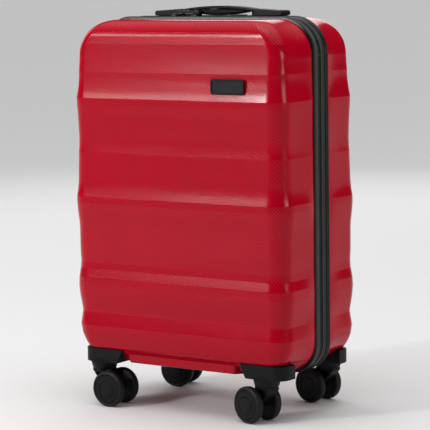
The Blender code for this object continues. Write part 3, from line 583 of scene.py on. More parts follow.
def section(z, side):
    """Half a level from the seam round the corner to the middle, as points in the plane."""
    inset = wave(z)
    half_x = HALF_WIDTH - curved_in(z, TOP_SIDE, BOTTOM_SIDE)
    half_y = HALF_DEPTH - curved_in(z, TOP_FACE, BOTTOM_FACE) - inset
    radius = CORNER - inset
    points = [(half_x - inset * fade - tuck, y) for y, fade, tuck in FADE if y < half_y - radius - 0.001]
    end_x, end_y = half_x - inset, half_y - radius
    while len(points) < len(FADE):
        x, y = points[-1]
        left = len(FADE) - len(points) + 1
        points.append((x + (end_x - x) / left, y + (end_y - y) / left))
    centre = (half_x - CORNER, half_y - radius)
    for i in range(CORNER_STEPS + 1):
        turn = radians(90 * i / CORNER_STEPS)
        points.append((centre[0] + radius * cos(turn), centre[1] + radius * sin(turn)))
    face = [centre[0] * share for share in FACE_SHARES] + list(FACE_X)
    face = [min(x, centre[0] * (FACE_END - FACE_STEP * i)) if i > 1 and x else x
            for i, x in enumerate(face)]
    lip = along(LIP, z - BOTTOM) if z - BOTTOM < LIP[-1][0] else None
    for x in face:
        y = half_y
        if lip is not None and side < 0:
            share = min(max((LIP_X[1] - x) / (LIP_X[1] - LIP_X[0]), 0), 1)
            y += (max(lip, half_y) - half_y) * share * share * (3 - 2 * share)
        points.append((x, y))
    return points


def skin(heights, side):
    """One row of points per height, from the -X edge of the half round to its +X edge."""
    rows = []
    for z in heights:
        half = section(z, side)
        rows.append([(-x, side * y, z) for x, y in half] + [(x, side * y, z) for x, y in half[-2::-1]])
    return rows


def inner_skin(rows):
    """The outer rows moved inwards by the wall, and drawn in at the top and bottom."""
    squeeze = (TOP - BOTTOM - 2 * WALL) / (TOP - BOTTOM)
    moved = []
    for row in rows:
        inner = []
        for i, (x, y, z) in enumerate(row):
            before, after = row[max(i - 1, 0)], row[min(i + 1, len(row) - 1)]
            run = Vector((after[0] - before[0], after[1] - before[1]))
            normal = Vector((run.y, -run.x)).normalized()
            if normal.x * x + normal.y * y > 0:
                normal = -normal
            if i in (0, len(row) - 1):
                normal = Vector((-1 if x > 0 else 1, 0))
            inner.append((x + normal.x * WALL, y + normal.y * WALL, BOTTOM + WALL + (z - BOTTOM) * squeeze))
        moved.append(inner)
    return moved


def closed_skin(rows, inside):
    """Faces of an open-sided box with a wall: outer skin, inner skin and the edge that joins them."""
    count, start = len(rows[0]), len(rows) * len(rows[0])
    top = start - count
    floor, roof = tuple(range(count)), tuple(range(top, start))
    outer = quads((len(rows), count)) + [floor[::-1], roof]
    faces = outer + [tuple(start + k for k in face[::-1]) for face in outer]
    for a in range(0, top, count):
        b = a + count
        faces.append((a, b, start + b, start + a))
        a, b = b - 1, b + count - 1
        faces.append((b, a, start + a, start + b))
    faces.append((count - 1, 0, start, start + count - 1))
    faces.append((top, start - 1, 2 * start - 1, start + top))
    return [point for row in (*rows, *inside) for point in row], faces


def make_shell(word, side):
    rows = skin(levels(), side)
    points, faces = closed_skin(rows, inner_skin(rows))
    if side > 0:
        faces = [face[::-1] for face in faces]
    arc = []
    for row in rows:
        lengths = [0.0]
        for a, b in zip(row, row[1:]):
            lengths.append(lengths[-1] + (Vector(b) - Vector(a)).length)
        arc += [length - lengths[len(row) // 2] for length in lengths]
    uvs = []
    for face in faces:
        flat = len(face) > 4
        uvs += [(points[i][0] if flat else arc[i % len(arc)], points[i][1 if flat else 2]) for i in face]
    return piece(f"{word}_ribbed_shell", points, faces, None, SHELL, [f"{word}_shell"], uvs, SHARP_FROM)


def cut(item, name, low, high):
    mesh = bpy.data.meshes.new(name)
    mesh.from_pydata(block(low, high), [], BLOCK_FACES)
    cutter = linked(name, mesh)
    made = item.modifiers.new(name, "BOOLEAN")
    made.operation = "DIFFERENCE"
    made.solver = "EXACT"
    made.object = cutter
    return cutter


BEZEL_LOW, BEZEL_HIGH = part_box("trolley_bezel")
BEZEL_LIP = 0.0047
CUT_OVER, BEZEL_CUT, SLOT_CUT = 0.01, 0.03, 0.01
LEG_X, LEG_HALF = 0.0560, Vector((0.0031, 0.0076, 0))
HANDLE_Y = 0.026
for word, side, body in SIDES:
    shell = make_shell(word, side)
    if side > 0:
        lip = Vector((BEZEL_LIP, BEZEL_LIP, 0))
        holes = [("bezel_opening", BEZEL_LOW + lip, BEZEL_HIGH - lip, BEZEL_CUT)]
        for sign in (-1, 1):
            slot = Vector((sign * LEG_X, HANDLE_Y, 0))
            holes.append((f"leg_slot_{sign + 1}", slot - LEG_HALF, slot + LEG_HALF, SLOT_CUT))
        cutters = [
            cut(shell, name, (low.x, low.y, TOP - depth), (high.x, high.y, TOP + CUT_OVER))
            for name, low, high, depth in holes
        ]
        bpy.context.view_layer.update()
        apply_modifiers(shell)
        for cutter in cutters:
            bpy.data.objects.remove(cutter)
        smooth(shell.data, SHARP_FROM)
    weighted(shell)
    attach(shell, body)


# --- Seam: zip tapes, teeth, stitching and piping ---
TAPE_LOW, TAPE_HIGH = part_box("front_zip_tape")
TAPE_PROUD = 0.0010
SEAM_HALF = TAPE_HIGH.x - TAPE_PROUD
SEAM_TOP = TAPE_HIGH.z - TAPE_PROUD
SEAM_BOTTOM = TAPE_LOW.z + TAPE_PROUD
SEAM_RADII = (0.048, 0.038)


def length_of(a, b):
    return sqrt((b[0] - a[0]) ** 2 + (b[1] - a[1]) ** 2)


def between(here, there, share):
    return tuple(a + (b - a) * share for a, b in zip(here, there))


def travelled(ring):
    """How far it is round a closed ring to each of its points, and back to the first."""
    total = [0.0]
    for a, b in zip(ring, ring[1:] + ring[:1]):
        total.append(total[-1] + length_of(a, b))
    return total


def seam_stations(step=0.010, corner_steps=20):
    """Points round the closing line with their outward directions: (x, z, nx, nz)."""
    top_radius, bottom_radius = SEAM_RADII
    corners = (
        (SEAM_HALF - top_radius, SEAM_TOP - top_radius, top_radius, 0),
        (top_radius - SEAM_HALF, SEAM_TOP - top_radius, top_radius, 90),
        (bottom_radius - SEAM_HALF, SEAM_BOTTOM + bottom_radius, bottom_radius, 180),
        (SEAM_HALF - bottom_radius, SEAM_BOTTOM + bottom_radius, bottom_radius, 270),
    )
    stations = []
    for cx, cz, radius, start in corners:
        for i in range(corner_steps + 1):
            turn = radians(start + 90 * i / corner_steps)
            stations.append((cx + radius * cos(turn), cz + radius * sin(turn), cos(turn), sin(turn)))
    filled = []
    for here, there in zip(stations, stations[1:] + stations[:1]):
        filled.append(here)
        parts = int(length_of(here, there) / step)
        filled += [between(here, there, i / parts) for i in range(1, parts)]
    return filled


def swept(name, profile, side, body, look, stands_for):
    """A closed profile of (outward offset, distance from the seam) carried round the closing line."""
    stations = seam_stations()
    points = [
        (x + nx * off, side * y, z + nz * off) for x, z, nx, nz in stations for off, y in profile
    ]
    count = len(profile)
    total = len(stations)
    around, across = travelled(stations), travelled(profile)
    faces, uvs = [], []
    for i in range(total):
        for j in range(count):
            row, next_row, next_j = i * count, (i + 1) % total * count, (j + 1) % count
            a, b, c, d = row + j, row + next_j, next_row + next_j, next_row + j
            quad = [(a, i, j), (b, i, j + 1), (c, i + 1, j + 1), (d, i + 1, j)]
            if side > 0:
                quad.reverse()
            faces.append(tuple(q[0] for q in quad))
            uvs += [(around[q[1]], across[q[2]]) for q in quad]
    return piece(name, points, faces, body, look, stands_for, uvs, 40)


BIT_RING = ((-1.0, -0.6), (-0.6, -1.0), (0.6, -1.0), (1.0, -0.6), (1.0, 0.6), (0.6, 1.0), (-0.6, 1.0),
            (-1.0, 0.6))


def seam_bits(name, side, body, look, pitch, size, offset, y, slant=0.0):
    """Small rounded blocks set at even steps round the closing line, such as teeth or stitches."""
    stations = seam_stations(0.004, 30)
    places, carry = [], 0.0
    for here, there in zip(stations, stations[1:] + stations[:1]):
        gap = length_of(here, there)
        spot = -carry
        while spot + pitch <= gap:
            spot += pitch
            places.append(between(here, there, spot / gap))
        carry = gap - spot
    parts = []
    half_run, half_y, half_up = (s / 2 for s in size)
    for x, z, nx, nz in places:
        tx, tz = -nz, nx
        points = []
        for lift, shrink in ((-half_up, 1.0), (0.4 * half_up, 1.0), (half_up, 0.6)):
            for run, across in ((a * half_run * shrink, b * half_y * shrink) for a, b in BIT_RING):
                run += slant * across
                out = offset + lift
                points.append((x + nx * out + tx * run, side * (y + across), z + nz * out + tz * run))
        faces = quads((3, 8), wrap=True) + [tuple(range(16, 24)), tuple(range(8))[::-1]]
        if side < 0:
            faces = [f[::-1] for f in faces]
        parts.append((points, faces))
    outward(joined(name, parts, body, look))


TAPE_PROFILE = (
    (0.00015, 0.00035), (0.00075, 0.00035), (0.0010, 0.0007), (0.0010, 0.0046), (0.00082, 0.0052),
    (0.00082, 0.0064), (0.0010, 0.0070), (0.0010, 0.0118), (0.0006, 0.0121), (0.00015, 0.0121),
)
PIPING_PROFILE = (
    (-0.0035, 0.0127), (0.0010, 0.0126), (0.0019, 0.0129), (0.0023, 0.0136), (0.0023, 0.0143),
    (0.0018, 0.0149), (0.0020, 0.0154), (0.0028, 0.0159), (0.0033, 0.0165), (0.0035, 0.0172),
    (0.0033, 0.0179), (0.0027, 0.0184), (0.0018, 0.0187), (-0.0035, 0.0187),
)
# Pitch, size, how far out and how far from the closing line.
TOOTH = 0.0022, (0.0015, 0.0034, 0.0009), 0.0010, 0.0021
STITCH = 0.0038, (0.0027, 0.00055, 0.0005), 0.0010, 0.0093
for word, side, body in SIDES:
    swept(f"{word}_piping", PIPING_PROFILE, side, body, PIPING, [f"{word}_rim_piping"])
    seam_bits(f"{word}_zip_teeth", side, body, TEETH, *TOOTH, 0.25 * side)
    seam_bits(f"{word}_tape_stitching", side, body, THREAD, *STITCH)
    tape = swept(f"{word}_tape", TAPE_PROFILE, side, body, TAPE, [f"{word}_zip_tape"])


# --- Fabric hinge ---
STRIP_ENDS = (0.075, 0.085)
STRIP_IN = 0.0026


def make_hinge_strip():
    """The strip of cloth that joins the halves behind the zip."""
    hinge_x = JOINTS["lid_hinge"]["pos_m"][0]
    low_z, high_z = SEAM_BOTTOM + STRIP_ENDS[0], SEAM_TOP - STRIP_ENDS[1]
    rows, columns = 60, 16
    half_y = 0.0060
    points, uvs = [], []
    for i in range(rows + 1):
        z = low_z + (high_z - low_z) * i / rows
        for j in range(columns + 1):
            y = -half_y + 2 * half_y * j / columns
            bow = 0.0003 * sin(pi * j / columns) + 0.00006 * sin(19 * z * pi)
            points.append((hinge_x + STRIP_IN - bow, y, z))
    faces = quads((rows + 1, columns + 1))
    for face in faces:
        uvs += [(points[k][1], points[k][2]) for k in face]
    strip = piece("hinge_strip", points, faces, None, TAPE, (), uvs)
    thicken(strip, 0.0005)
    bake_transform(strip)


make_hinge_strip()


# --- Linings, straps and buckle ---
LINING_EDGE, LINING_ROUND = 0.0125, 0.014


def make_lining(word, side, body):
    low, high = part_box(f"{word}_lining")
    depth = low.y if side < 0 else high.y
    edge = side * LINING_EDGE
    radius = LINING_ROUND
    half_x, half_z = high.x, (high.z - low.z) / 2
    mid_z = (high.z + low.z) / 2
    rings = []

    def ring(y, shrink):
        rings.append([
            (u, y, mid_z + v) for u, v in rounded_rectangle(half_x - shrink, half_z - shrink,
                                                            max(radius - shrink * 0.6, 0.004), steps=8)
        ])

    run = depth - side * radius - edge
    for i in range(9):
        y = edge + run * i / 8
        ring(y, 0.0004 * (1 + sin(9.0 * i)) if 0 < i < 8 else 0.0)
    for i in range(1, 9):
        turn = radians(90 * i / 8)
        ring(depth - side * radius * (1 - sin(turn)), radius * (1 - cos(turn)))
    floor = rings[-1]
    for k in range(1, 7):
        share = 1 - k / 7
        rings.append([
            (x * share, y - side * 0.00018 * (1 + sin(60 * x + 5 * k)), mid_z + (z - mid_z) * share)
            for x, y, z in floor
        ])
    count = len(rings[0])
    points = [p for r in rings for p in r]
    faces = quads((len(rings), count), wrap=True)
    faces.append(tuple(range(len(points) - count, len(points))))
    item = piece(f"{word}_cloth_lining", points, faces, None, CLOTH, [f"{word}_lining"], None, 50)
    outward(item)
    thicken(item, 0.0007)
    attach(item, body)


for word, side, body in SIDES:
    make_lining(word, side, body)


def make_strap(word, sign):
    """Two arms of elastic webbing that run from the buckle to the corners of the lining."""
    low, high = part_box(f"packing_strap_{word}")
    buckle_low, buckle_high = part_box("strap_buckle")
    face_y = high.y - 0.0002
    half = 0.0125
    foot = buckle_high.z + GAP if sign > 0 else buckle_low.z - GAP
    end = high.z if sign > 0 else low.z
    reach = high.x - half
    points, faces, uvs = [], [], []
    rows, columns = 28, 8
    for arm in (-1, 1):
        start = len(points)
        for i in range(rows + 1):
            share = i / rows
            for j in range(columns + 1):
                across = -half + 2 * half * j / columns
                x = arm * share * reach + across
                z = foot + (end - foot) * share
                lift = 0.0003 * sin(pi * share) * (1 + 0.3 * sin(9 * share)) + 0.00015 * (arm > 0)
                points.append((x, face_y - lift - 0.0004, z))
        new = quads((rows + 1, columns + 1), start=start)
        faces += new
        for face in new:
            uvs += [(points[k][0] - arm * reach * ((points[k][2] - foot) / (end - foot)), points[k][2])
                    for k in face]
    item = piece(f"elastic_strap_{word}", points, faces, None, WEBBING, [f"packing_strap_{word}"], uvs)
    thicken(item, 0.0006, 0)
    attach(item, "root")


make_strap("upper", 1)
make_strap("lower", -1)


# Half length, half height and corner of the bar, and of the slot that the webbing passes through.
BUCKLE_BAR = (0.0125, 0.0022, 0.001)


def make_buckle():
    low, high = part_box("strap_buckle")
    mid_z = (low.z + high.z) / 2
    thick = (high.y - low.y) / 2
    y0, y1 = high.y - 1.3 * thick, high.y
    half = high.x
    plate("buckle_socket", rounded_rectangle(half, 0.0165, 0.004, (0, mid_z - 0.0125)), y0, y1, "y",
          "root", TRIM, ["strap_buckle"], edge=0.0008)
    arm = [(-0.014, mid_z + 0.006), (-0.0145, mid_z + 0.013), (-half, mid_z + 0.0165),
           (-half, high.z - 0.003), (-half + 0.003, high.z)]
    outline = arm + [(-x, z) for x, z in arm[::-1]]
    plate("buckle_clip", outline[::-1], y0 + 0.001, y1 - 0.001, "y", "root", TRIM,
          holes=[rounded_rectangle(*BUCKLE_BAR, (0, high.z - 0.006))], edge=0.0006)
    plate("buckle_bar", rounded_rectangle(*BUCKLE_BAR, (0, mid_z - 0.024)), y0 - 0.0008, y0 + 0.0002,
          "y", "root", GREY, edge=0.0003)


make_buckle()


# --- Trolley handle ---
TUBE_WALL, TUBE_EDGE = 0.0008, 0.0002
COLLAR, COLLAR_FIT = 0.0010, 0.00002
COLLAR_LOW, COLLAR_HIGH = 0.0105, 0.0007


def make_tube(word, stage, body, collar):
    name = f"trolley_{stage}_tube_{word}"
    low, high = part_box(name)
    radius = (high.x - low.x) / 2
    centre = ((low.x + high.x) / 2, (low.y + high.y) / 2, 0)
    inner, edge = radius - TUBE_WALL, radius - TUBE_EDGE
    profile = [(inner, low.z), (edge, low.z), (radius, low.z + GAP), (radius, high.z - GAP),
               (edge, high.z), (inner, high.z)]
    turned(f"{stage}_tube_{word}", profile, centre, (0, 0, 1), body, TUBE, [name], closed=True)
    if not collar:
        return
    outer, inner = radius + collar, radius + COLLAR_FIT
    low_z, high_z = high.z - COLLAR_LOW, high.z - COLLAR_HIGH
    ring = [(inner, low_z), (outer - 0.0003, low_z), (outer, low_z + 0.0005), (outer, high_z - 0.0005),
            (outer - 0.0003, high_z), (inner, high_z)]
    turned(f"{stage}_collar_{word}", ring, centre, (0, 0, 1), body, TRIM, closed=True)


for word in ("left", "right"):
    for stage, body in (("outer", "root"), ("middle", "trolley_stage"), ("inner", "trolley_handle")):
        make_tube(word, stage, body, COLLAR if stage == "outer" else 0)


# --- Carry handle ---
BOW_LOW, BOW_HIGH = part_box("carry_handle_bow")
PAD_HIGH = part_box("carry_handle_grip")[1]
BOW_HALF = 0.0595
BOW_RISE = 0.0045
BOW_THICK = 0.0040
BOW_HALF_DEPTH = 0.0110
PAD_HALF_DEPTH = 0.0120
PAD_EDGE, PAD_CROWN = 0.0020, 0.0067
GROOVE_PITCH, GROOVE_DEPTH = 0.0042, 0.00055
LEG_HALF_THICK, LEG_HALF_DEEP = 0.0024, 0.0069
FOOT_HALF_THICK, FOOT_HALF_DEEP, FOOT_TALL = 0.0049, 0.0079, 0.0025


def bow_top(x):
    share = min(abs(x) / BOW_HALF, 1.0)
    return BOW_HIGH.z - BOW_RISE * share**2


def lofted(name, stations, body, look, stands_for):
    """A rounded bar through stations of (x, y, low z, high z, half depth, corner)."""
    points = []
    for x, y, low, high, half_depth, corner in stations:
        half_z = (high - low) / 2
        corner = min(corner, half_z * 0.98, half_depth * 0.98)
        for u, v in rounded_rectangle(half_depth, half_z, corner, (y, (low + high) / 2), 4):
            points.append((x, u, v))
    count = len(points) // len(stations)
    faces = quads((len(stations), count), wrap=True)
    faces += [tuple(range(count))[::-1], tuple(range(len(points) - count, len(points)))]
    return outward(piece(name, points, faces, body, look, stands_for, None, 50))


def make_carry_handle():
    strap = []
    steps = 46
    for i in range(steps + 1):
        x = -BOW_HALF + 2 * BOW_HALF * i / steps
        end = min(1.0, (BOW_HALF - abs(x)) / 0.0015 + 0.5)
        top = bow_top(x)
        strap.append((x, HANDLE_Y, top - BOW_THICK * (0.5 + 0.5 * end), top - BOW_THICK * 0.5 * (1 - end),
                      BOW_HALF_DEPTH * (0.93 + 0.07 * end), 0.0014))
    lofted("carry_strap", strap, "carry_handle", RUBBER, ["carry_handle_bow"])

    half = PAD_HIGH.x
    pad = []
    steps = 138
    for i in range(steps + 1):
        x = -half + 2 * half * i / steps
        share = abs(x) / half
        top = bow_top(x) - BOW_THICK - GAP
        thick = PAD_EDGE + PAD_CROWN * (1 - share**2)
        ends = min(1.0, (1 - share) * 14 + 0.35)
        groove = GROOVE_DEPTH * max(0.0, cos(2 * pi * x / GROOVE_PITCH)) ** 3 if share < 0.92 else 0
        pad.append((x, HANDLE_Y, top - thick * (0.3 + 0.7 * ends) + groove, top,
                    PAD_HALF_DEPTH * (0.86 + 0.14 * ends) - groove, 0.0026))
    grip = lofted("carry_pad", pad, "carry_handle", RUBBER, ["carry_handle_grip"])

    for x, word in ((-LEG_X, "left"), (LEG_X, "right")):
        rounded_box(f"carry_leg_{word}", (x - LEG_HALF_THICK, HANDLE_Y - LEG_HALF_DEEP, BOW_LOW.z + GAP),
                    (x + LEG_HALF_THICK, HANDLE_Y + LEG_HALF_DEEP, bow_top(x) - 0.0022), 0.0011,
                    "carry_handle", RUBBER)
        rounded_box(f"carry_leg_foot_{word}", (x - FOOT_HALF_THICK, HANDLE_Y - FOOT_HALF_DEEP, BOW_LOW.z),
                    (x + FOOT_HALF_THICK, HANDLE_Y + FOOT_HALF_DEEP, BOW_LOW.z + FOOT_TALL), 0.0005,
                    "carry_handle", TRIM)


make_carry_handle()


# --- Lock, dials and zip sliders ---
NOTCH = 0.00022
DIGIT_SIZE, DIGIT_RAISED = 0.0019, 0.00005


def make_dial(index):
    name = f"lock_dial_{index}"
    low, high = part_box(name)
    centre = Vector(JOINTS[f"{name}_turn"]["pos_m"])
    radius = (high.z - low.z) / 2
    half = (high.x - low.x) / 2
    teeth = 20
    outline = []
    for i in range(teeth * 4):
        turn = 2 * pi * i / (teeth * 4)
        reach = radius - (NOTCH if i % 4 in (0, 3) else 0.0)
        outline.append((centre.y + reach * cos(turn), centre.z + reach * sin(turn)))
    plate(f"dial_{index}", outline, centre.x - half, centre.x + half, "x", name, GREY, [name], edge=0)
    for digit in range(10):
        text = bpy.data.curves.new(f"digit_{index}_{digit}", "FONT")
        text.body = str((digit + 3 * index) % 10)
        text.size = DIGIT_SIZE
        text.extrude = DIGIT_RAISED
        text.align_x = "CENTER"
        text.align_y = "CENTER"
        turn = 2 * pi * digit / 10
        holder = linked(f"digit_{index}_{digit}", text)
        spin = Matrix.Rotation(-turn, 4, "X")
        holder.matrix_world = Matrix.Translation(centre) @ spin @ Matrix.Translation((0, 0, radius))
        bpy.context.view_layer.update()
        mesh = bpy.data.meshes.new_from_object(holder.evaluated_get(bpy.context.evaluated_depsgraph_get()))
        mesh.transform(holder.matrix_world)
        bpy.data.objects.remove(holder)
        mesh.materials.clear()
        dressed(f"dial_{index}_digit_{digit}", mesh, name, DIGIT)


for index in (1, 2, 3):
    make_dial(index)


# Half of the slider's outline and of the pull's: shares of their length and of their half width.
SLIDER_OUTLINE = ((-1, 0.55), (-0.6, 0.8), (0.3, 1), (0.9, 0.92), (1, 0.6))
PULL_OUTLINE = ((0.0, 0.55), (0.04, 0.8), (0.22, 0.72), (0.42, 0.70), (0.62, 0.95), (0.9, 1.0),
                (0.97, 0.85), (1.0, 0.5))
BRIDGE_HALF = 0.0011


def make_slider(word, sign):
    name = f"zip_slider_{word}"
    low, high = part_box(name)
    mid_x = (low.x + high.x) / 2
    half = (high.x - low.x) / 2
    wide = (high.y - low.y) / 2
    outline = [(mid_x + sign * half * share, -wide * width) for share, width in SLIDER_OUTLINE]
    outline += [(x, -y) for x, y in reversed(outline)]
    tall = high.z - low.z
    plate(f"slider_{word}", outline[::sign], low.z, low.z + 0.62 * tall, "z", name, NICKEL, [name],
          edge=0.0006)
    arch = [(0.0038, low.z + 0.55 * tall), (0.0036, high.z - 0.0008), (0.0026, high.z - 0.0001)]
    bridge = [(mid_x - x, z) for x, z in arch] + [(mid_x + x, z) for x, z in reversed(arch)]
    plate(f"slider_bridge_{word}", bridge[::-1], -BRIDGE_HALF, BRIDGE_HALF, "y", name, NICKEL, edge=0.0003)


def make_pull(word, sign):
    name = f"zip_pull_{word}"
    low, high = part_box(name)
    tail = low.x if sign > 0 else high.x
    tip = high.x if sign > 0 else low.x
    wide = (high.y - low.y) / 2
    length = abs(tip - tail)
    outline = [(tail + sign * length * share, -wide * width) for share, width in PULL_OUTLINE]
    outline += [(x, -y) for x, y in reversed(outline)]
    holes = [rounded_rectangle(0.0013, 0.0010, 0.0006, (tail + sign * 0.0026, 0)),
             rounded_rectangle(0.0021, 0.0011, 0.0010, (tail + sign * length * 0.78, 0))]
    plate(f"pull_{word}", outline[::sign], low.z, high.z, "z", name, NICKEL, [name], holes, 0.0003)


for word, sign in (("left", 1), ("right", -1)):
    make_slider(word, sign)
    make_pull(word, sign)


# --- Nameplate ---
BADGE_RIM, BADGE_PROUD = 0.0026, 0.0002


def make_badge():
    low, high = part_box("badge_frame")
    plate_low, plate_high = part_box("badge_plate")
    centre = ((low.x + high.x) / 2, (low.z + high.z) / 2)
    half = ((high.x - low.x) / 2, (high.z - low.z) / 2)
    inside = rounded_rectangle(half[0] - BADGE_RIM, half[1] - BADGE_RIM, 0.0018, centre)
    plate("badge_rim", rounded_rectangle(*half, 0.0036, centre), low.y, high.y, "y", "front_half", TRIM,
          ["badge_frame"], [inside], 0.0007)
    plate("badge_face", inside, plate_low.y - BADGE_PROUD, plate_high.y, "y", "front_half", PLATE,
          ["badge_plate"], edge=0.0002)


make_badge()


# --- Casters ---
DISC_PROFILE = (
    (0.0000, 0.0063), (0.0035, 0.00625), (0.0070, 0.0061), (0.0100, 0.0058), (0.0112, 0.0055),
    (0.0115, 0.0050), (0.0121, 0.0050), (0.0124, 0.0055), (0.0150, 0.0055), (0.0180, 0.0053),
    (0.0199, 0.0050), (0.0204, 0.0044), (0.0204, 0.0000), (0.0120, 0.0000), (0.0030, 0.0000),
    (0.0030, 0.0015), (0.0000, 0.0015),
)
TYRE_PROFILE = (
    (0.0205, 0.0046), (0.0209, 0.0052), (0.0217, 0.0055), (0.0228, 0.0053), (0.0239, 0.0046),
    (0.0247, 0.0035), (0.02498, 0.0022), (0.0250, 0.0008), (0.0250, -0.0008), (0.02498, -0.0022),
    (0.0247, -0.0035), (0.0239, -0.0046), (0.0228, -0.0053), (0.0217, -0.0055), (0.0130, -0.0055),
    (0.0118, -0.0050), (0.0060, -0.0048), (0.0027, -0.0052), (0.0027, -0.0002), (0.0205, -0.0002),
)


def make_wheel(word, hand, sign):
    name = f"wheel_{word}_{hand}"
    joint = JOINTS[f"{name}_roll"]
    axis = sign * Vector(joint["axis"])
    centre = Vector(joint["pos_m"])
    turned(f"tyre_{word}_{hand}", TYRE_PROFILE, centre, axis, name, TYRE, [name], 64, True)
    turned(f"disc_{word}_{hand}", DISC_PROFILE, centre, axis, name, DISC, (), 64)


AXLE_HEIGHT = 0.025
LEG_HALF_WIDTH, RIB_HALF_WIDTH, BOSS_HALF_WIDTH = 0.0052, 0.0082, 0.0085
# The rib is a band just inside the leg's outline: its outer and inner edge as shares of it.
RIB_SHARES = (0.99, 0.72)
HEAD_PROFILE = (
    (0.0000, 0.0470), (0.0040, 0.0470), (0.0100, 0.0474), (0.0107, 0.0479), (0.0108, 0.0486),
    (0.0108, 0.0506), (0.0104, 0.0512), (0.0040, 0.0512), (0.0040, 0.0575), (0.0035, 0.0580),
    (0.0000, 0.0580),
)


def leg_outline(trail):
    """The fork leg seen from the side: from the swivel head it slants down to the axle."""
    top = 0.0512
    ahead, behind = 0.0152, -0.0150
    boss = (trail, AXLE_HEIGHT)
    radius = 0.0082
    start, end = (behind + 0.0022, 0.0452), (boss[0] - radius * 0.95, boss[1] - radius * 0.35)
    points = [(ahead, top), (behind, top), (behind - 0.0002, 0.0470), start]
    for i in range(1, 8):
        share = i / 8
        ease = share * share * (3 - 2 * share)
        points.append((start[0] + (end[0] - start[0]) * (0.35 * share + 0.65 * ease),
                       start[1] + (end[1] - start[1]) * share))
    for i in range(17):
        turn = radians(200 + 195 * i / 16)
        points.append((boss[0] + radius * cos(turn), boss[1] + radius * sin(turn)))
    points += [(ahead + 0.0088, 0.0335), (ahead + 0.0052, 0.0395), (ahead + 0.0020, 0.0445)]
    return points


def make_fork(word):
    wheel_a, wheel_b, pivot = (
        Vector(JOINTS[name]["pos_m"])
        for name in (f"wheel_{word}_a_roll", f"wheel_{word}_b_roll", f"caster_{word}_swivel")
    )
    axle = (wheel_a + wheel_b) / 2
    ahead = Vector((axle.x - pivot.x, axle.y - pivot.y, 0))
    trail = ahead.length
    ahead.normalize()
    across = Vector((-ahead.y, ahead.x, 0))
    body = f"caster_{word}"
    turn = Matrix((
        (ahead.x, across.x, 0, pivot.x), (ahead.y, across.y, 0, pivot.y), (0, 0, 1, 0), (0, 0, 0, 1),
    ))

    def slab(part, outline, half, stands_for=(), holes=(), edge=0.0006):
        item = plate(f"fork_{part}_{word}", outline, -half, half, "y", body, TRIM, stands_for, holes, edge)
        item.data.transform(turn)

    leg = leg_outline(trail)
    centre = (sum(u for u, _ in leg) / len(leg), sum(v for _, v in leg) / len(leg))
    rib, hole = ([(centre[0] + (u - centre[0]) * share, centre[1] + (v - centre[1]) * share)
                  for u, v in leg] for share in RIB_SHARES)
    slab("leg", leg, LEG_HALF_WIDTH, [f"caster_fork_{word}"], edge=0.0010)
    slab("rib", rib, RIB_HALF_WIDTH, holes=[hole])
    slab("boss", circle((trail, AXLE_HEIGHT), 0.0060, 32), BOSS_HALF_WIDTH)
    turned(f"fork_head_{word}", HEAD_PROFILE, (pivot.x, pivot.y, 0), (0, 0, 1), body, TRIM)
    reach = (wheel_a - wheel_b).length / 2 + 0.0010
    pin = [(0.0, -reach), (0.0019, -reach), (0.0023, 0.0004 - reach)]
    pin += [(radius, -along) for radius, along in reversed(pin)]
    turned(f"axle_pin_{word}", pin, axle, across, body, AXLE, [f"caster_axle_{word}"], 32)


for word in CORNERS:
    make_fork(word)
    for hand, sign in (("a", 1), ("b", -1)):
        make_wheel(word, hand, sign)


# --- CAD nodes that stay ---
KEPT = {
    "trolley_bezel": (TRIM, 0.0008), "trolley_grip": (RUBBER, 0.0012), "trolley_button": (GREY, 0.0006),
    "tube_foot_bracket": (TRIM, 0.0008), "lock_body": (TRIM, 0.0006), "lock_release": (GREY, 0.0004),
    **{f"carry_handle_mount_{hand}": (TRIM, 0.0008) for hand in ("left", "right")},
    **{f"caster_housing_{word}": (TRIM, 0.0006) for word in CORNERS},
}
for name, (look, width) in KEPT.items():
    node = NODES[name]
    node.data.materials.clear()
    node.data.materials.append(look[0])
    smooth(node.data, 32)
    weld = node.modifiers.new("weld", "WELD")
    weld.merge_threshold = LEAST_RADIUS
    bevel(node, width, 2, 38)
    weighted(node)


# --- Floor, lights and camera ---
def make_floor():
    half = 60
    mesh = bpy.data.meshes.new("floor")
    mesh.from_pydata([(-half, -half, 0), (half, -half, 0), (half, half, 0), (-half, half, 0)], [],
                     [(0, 1, 2, 3)])
    floor = linked("floor", mesh)
    look = Look("pale_floor", (0.66, 0.66, 0.66), 0.75, specular=0.1)
    mesh.materials.append(look.material)


def softbox(name, azimuth, distance, height, size, radiance, aim=(0, 0, 0.3)):
    """A rectangular light; azimuth is measured from the front towards +X."""
    light = bpy.data.lights.new(name, "AREA")
    light.shape = "RECTANGLE"
    light.size, light.size_y = size
    light.energy = radiance * pi * size[0] * size[1]
    item = linked(name, light)
    turn = radians(azimuth)
    place = Vector((distance * sin(turn), -distance * cos(turn), height))
    item.location = place
    item.rotation_euler = (place - Vector(aim)).to_track_quat("Z", "Y").to_euler()


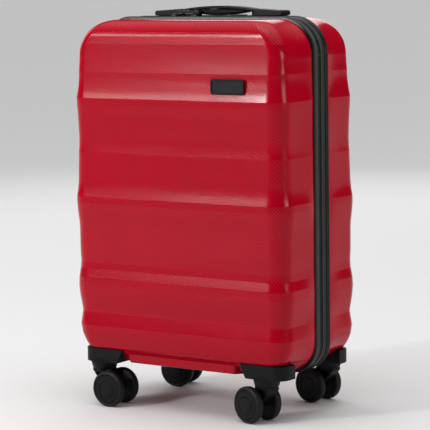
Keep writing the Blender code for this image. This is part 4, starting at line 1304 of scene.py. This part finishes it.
make_floor()
for light in (
    ("key_high", -27, 2.5, 1.16, (0.24, 0.40), 100, (0, 0, 0.6)),
    ("key_low", -28, 2.5, 0.68, (0.50, 0.12), 12, (0, 0, 0.68)),
    ("key_side", -39, 2.5, 1.14, (0.60, 0.34), 17, (0, 0, 0.6)),
    ("edge", 90, 2.5, 0.85, (0.80, 0.50), 9, (0, 0, 0.85)),
    ("top", 0, 0.2, 2.6, (1.4, 1.4), 2, (0, 0, 0)),
    ("back", 205, 3.0, 1.4, (1.4, 1.2), 2),
    ("left", -110, 3.0, 1.3, (1.2, 1.2), 2),
):
    softbox(*light)

# The sky is dark up to this share of the way to overhead, then brightens to its full strength.
SKY_FROM, SKY_TO = 0.45, 0.92
SKY_LOW, SKY_HIGH = 0.02, 1.60


def make_world():
    world = bpy.data.worlds.new("studio")
    world.use_nodes = True
    nodes, links = world.node_tree.nodes, world.node_tree.links
    background = nodes["Background"]
    place = nodes.new("ShaderNodeTexCoord")
    parts = nodes.new("ShaderNodeSeparateXYZ")
    links.new(place.outputs["Generated"], parts.inputs[0])
    ramp = nodes.new("ShaderNodeMapRange")
    ramp.interpolation_type = "SMOOTHSTEP"
    links.new(parts.outputs["Z"], ramp.inputs["Value"])
    set_span(ramp, SKY_FROM, SKY_TO, SKY_LOW, SKY_HIGH)
    links.new(ramp.outputs["Result"], background.inputs["Strength"])
    background.inputs["Color"].default_value = (1, 1, 1, 1)
    bpy.context.scene.world = world


make_world()

CAMERA_AZIMUTH, CAMERA_ELEVATION, CAMERA_ROLL = 33.86, 6.70, -0.84
CAMERA_PLACE = (1.60771, -2.39392, 0.60377)
CAMERA_LENS = 174.9


def make_camera():
    azimuth, elevation, roll = (radians(a) for a in (CAMERA_AZIMUTH, CAMERA_ELEVATION, CAMERA_ROLL))
    back = Vector((sin(azimuth) * cos(elevation), -cos(azimuth) * cos(elevation), sin(elevation)))
    right = Vector((cos(azimuth), sin(azimuth), 0))
    up = back.cross(right)
    x_axis = right * cos(roll) + up * sin(roll)
    y_axis = up * cos(roll) - right * sin(roll)
    data = bpy.data.cameras.new("camera")
    data.lens = CAMERA_LENS
    data.sensor_width = 36
    data.clip_end = 200
    camera = linked("camera", data)
    rows = [(x_axis[i], y_axis[i], back[i], CAMERA_PLACE[i]) for i in range(3)] + [(0, 0, 0, 1)]
    camera.matrix_world = Matrix(rows)
    bpy.context.scene.camera = camera


make_camera()
bpy.context.scene.view_settings.view_transform = "Standard"

bpy.context.view_layer.update()
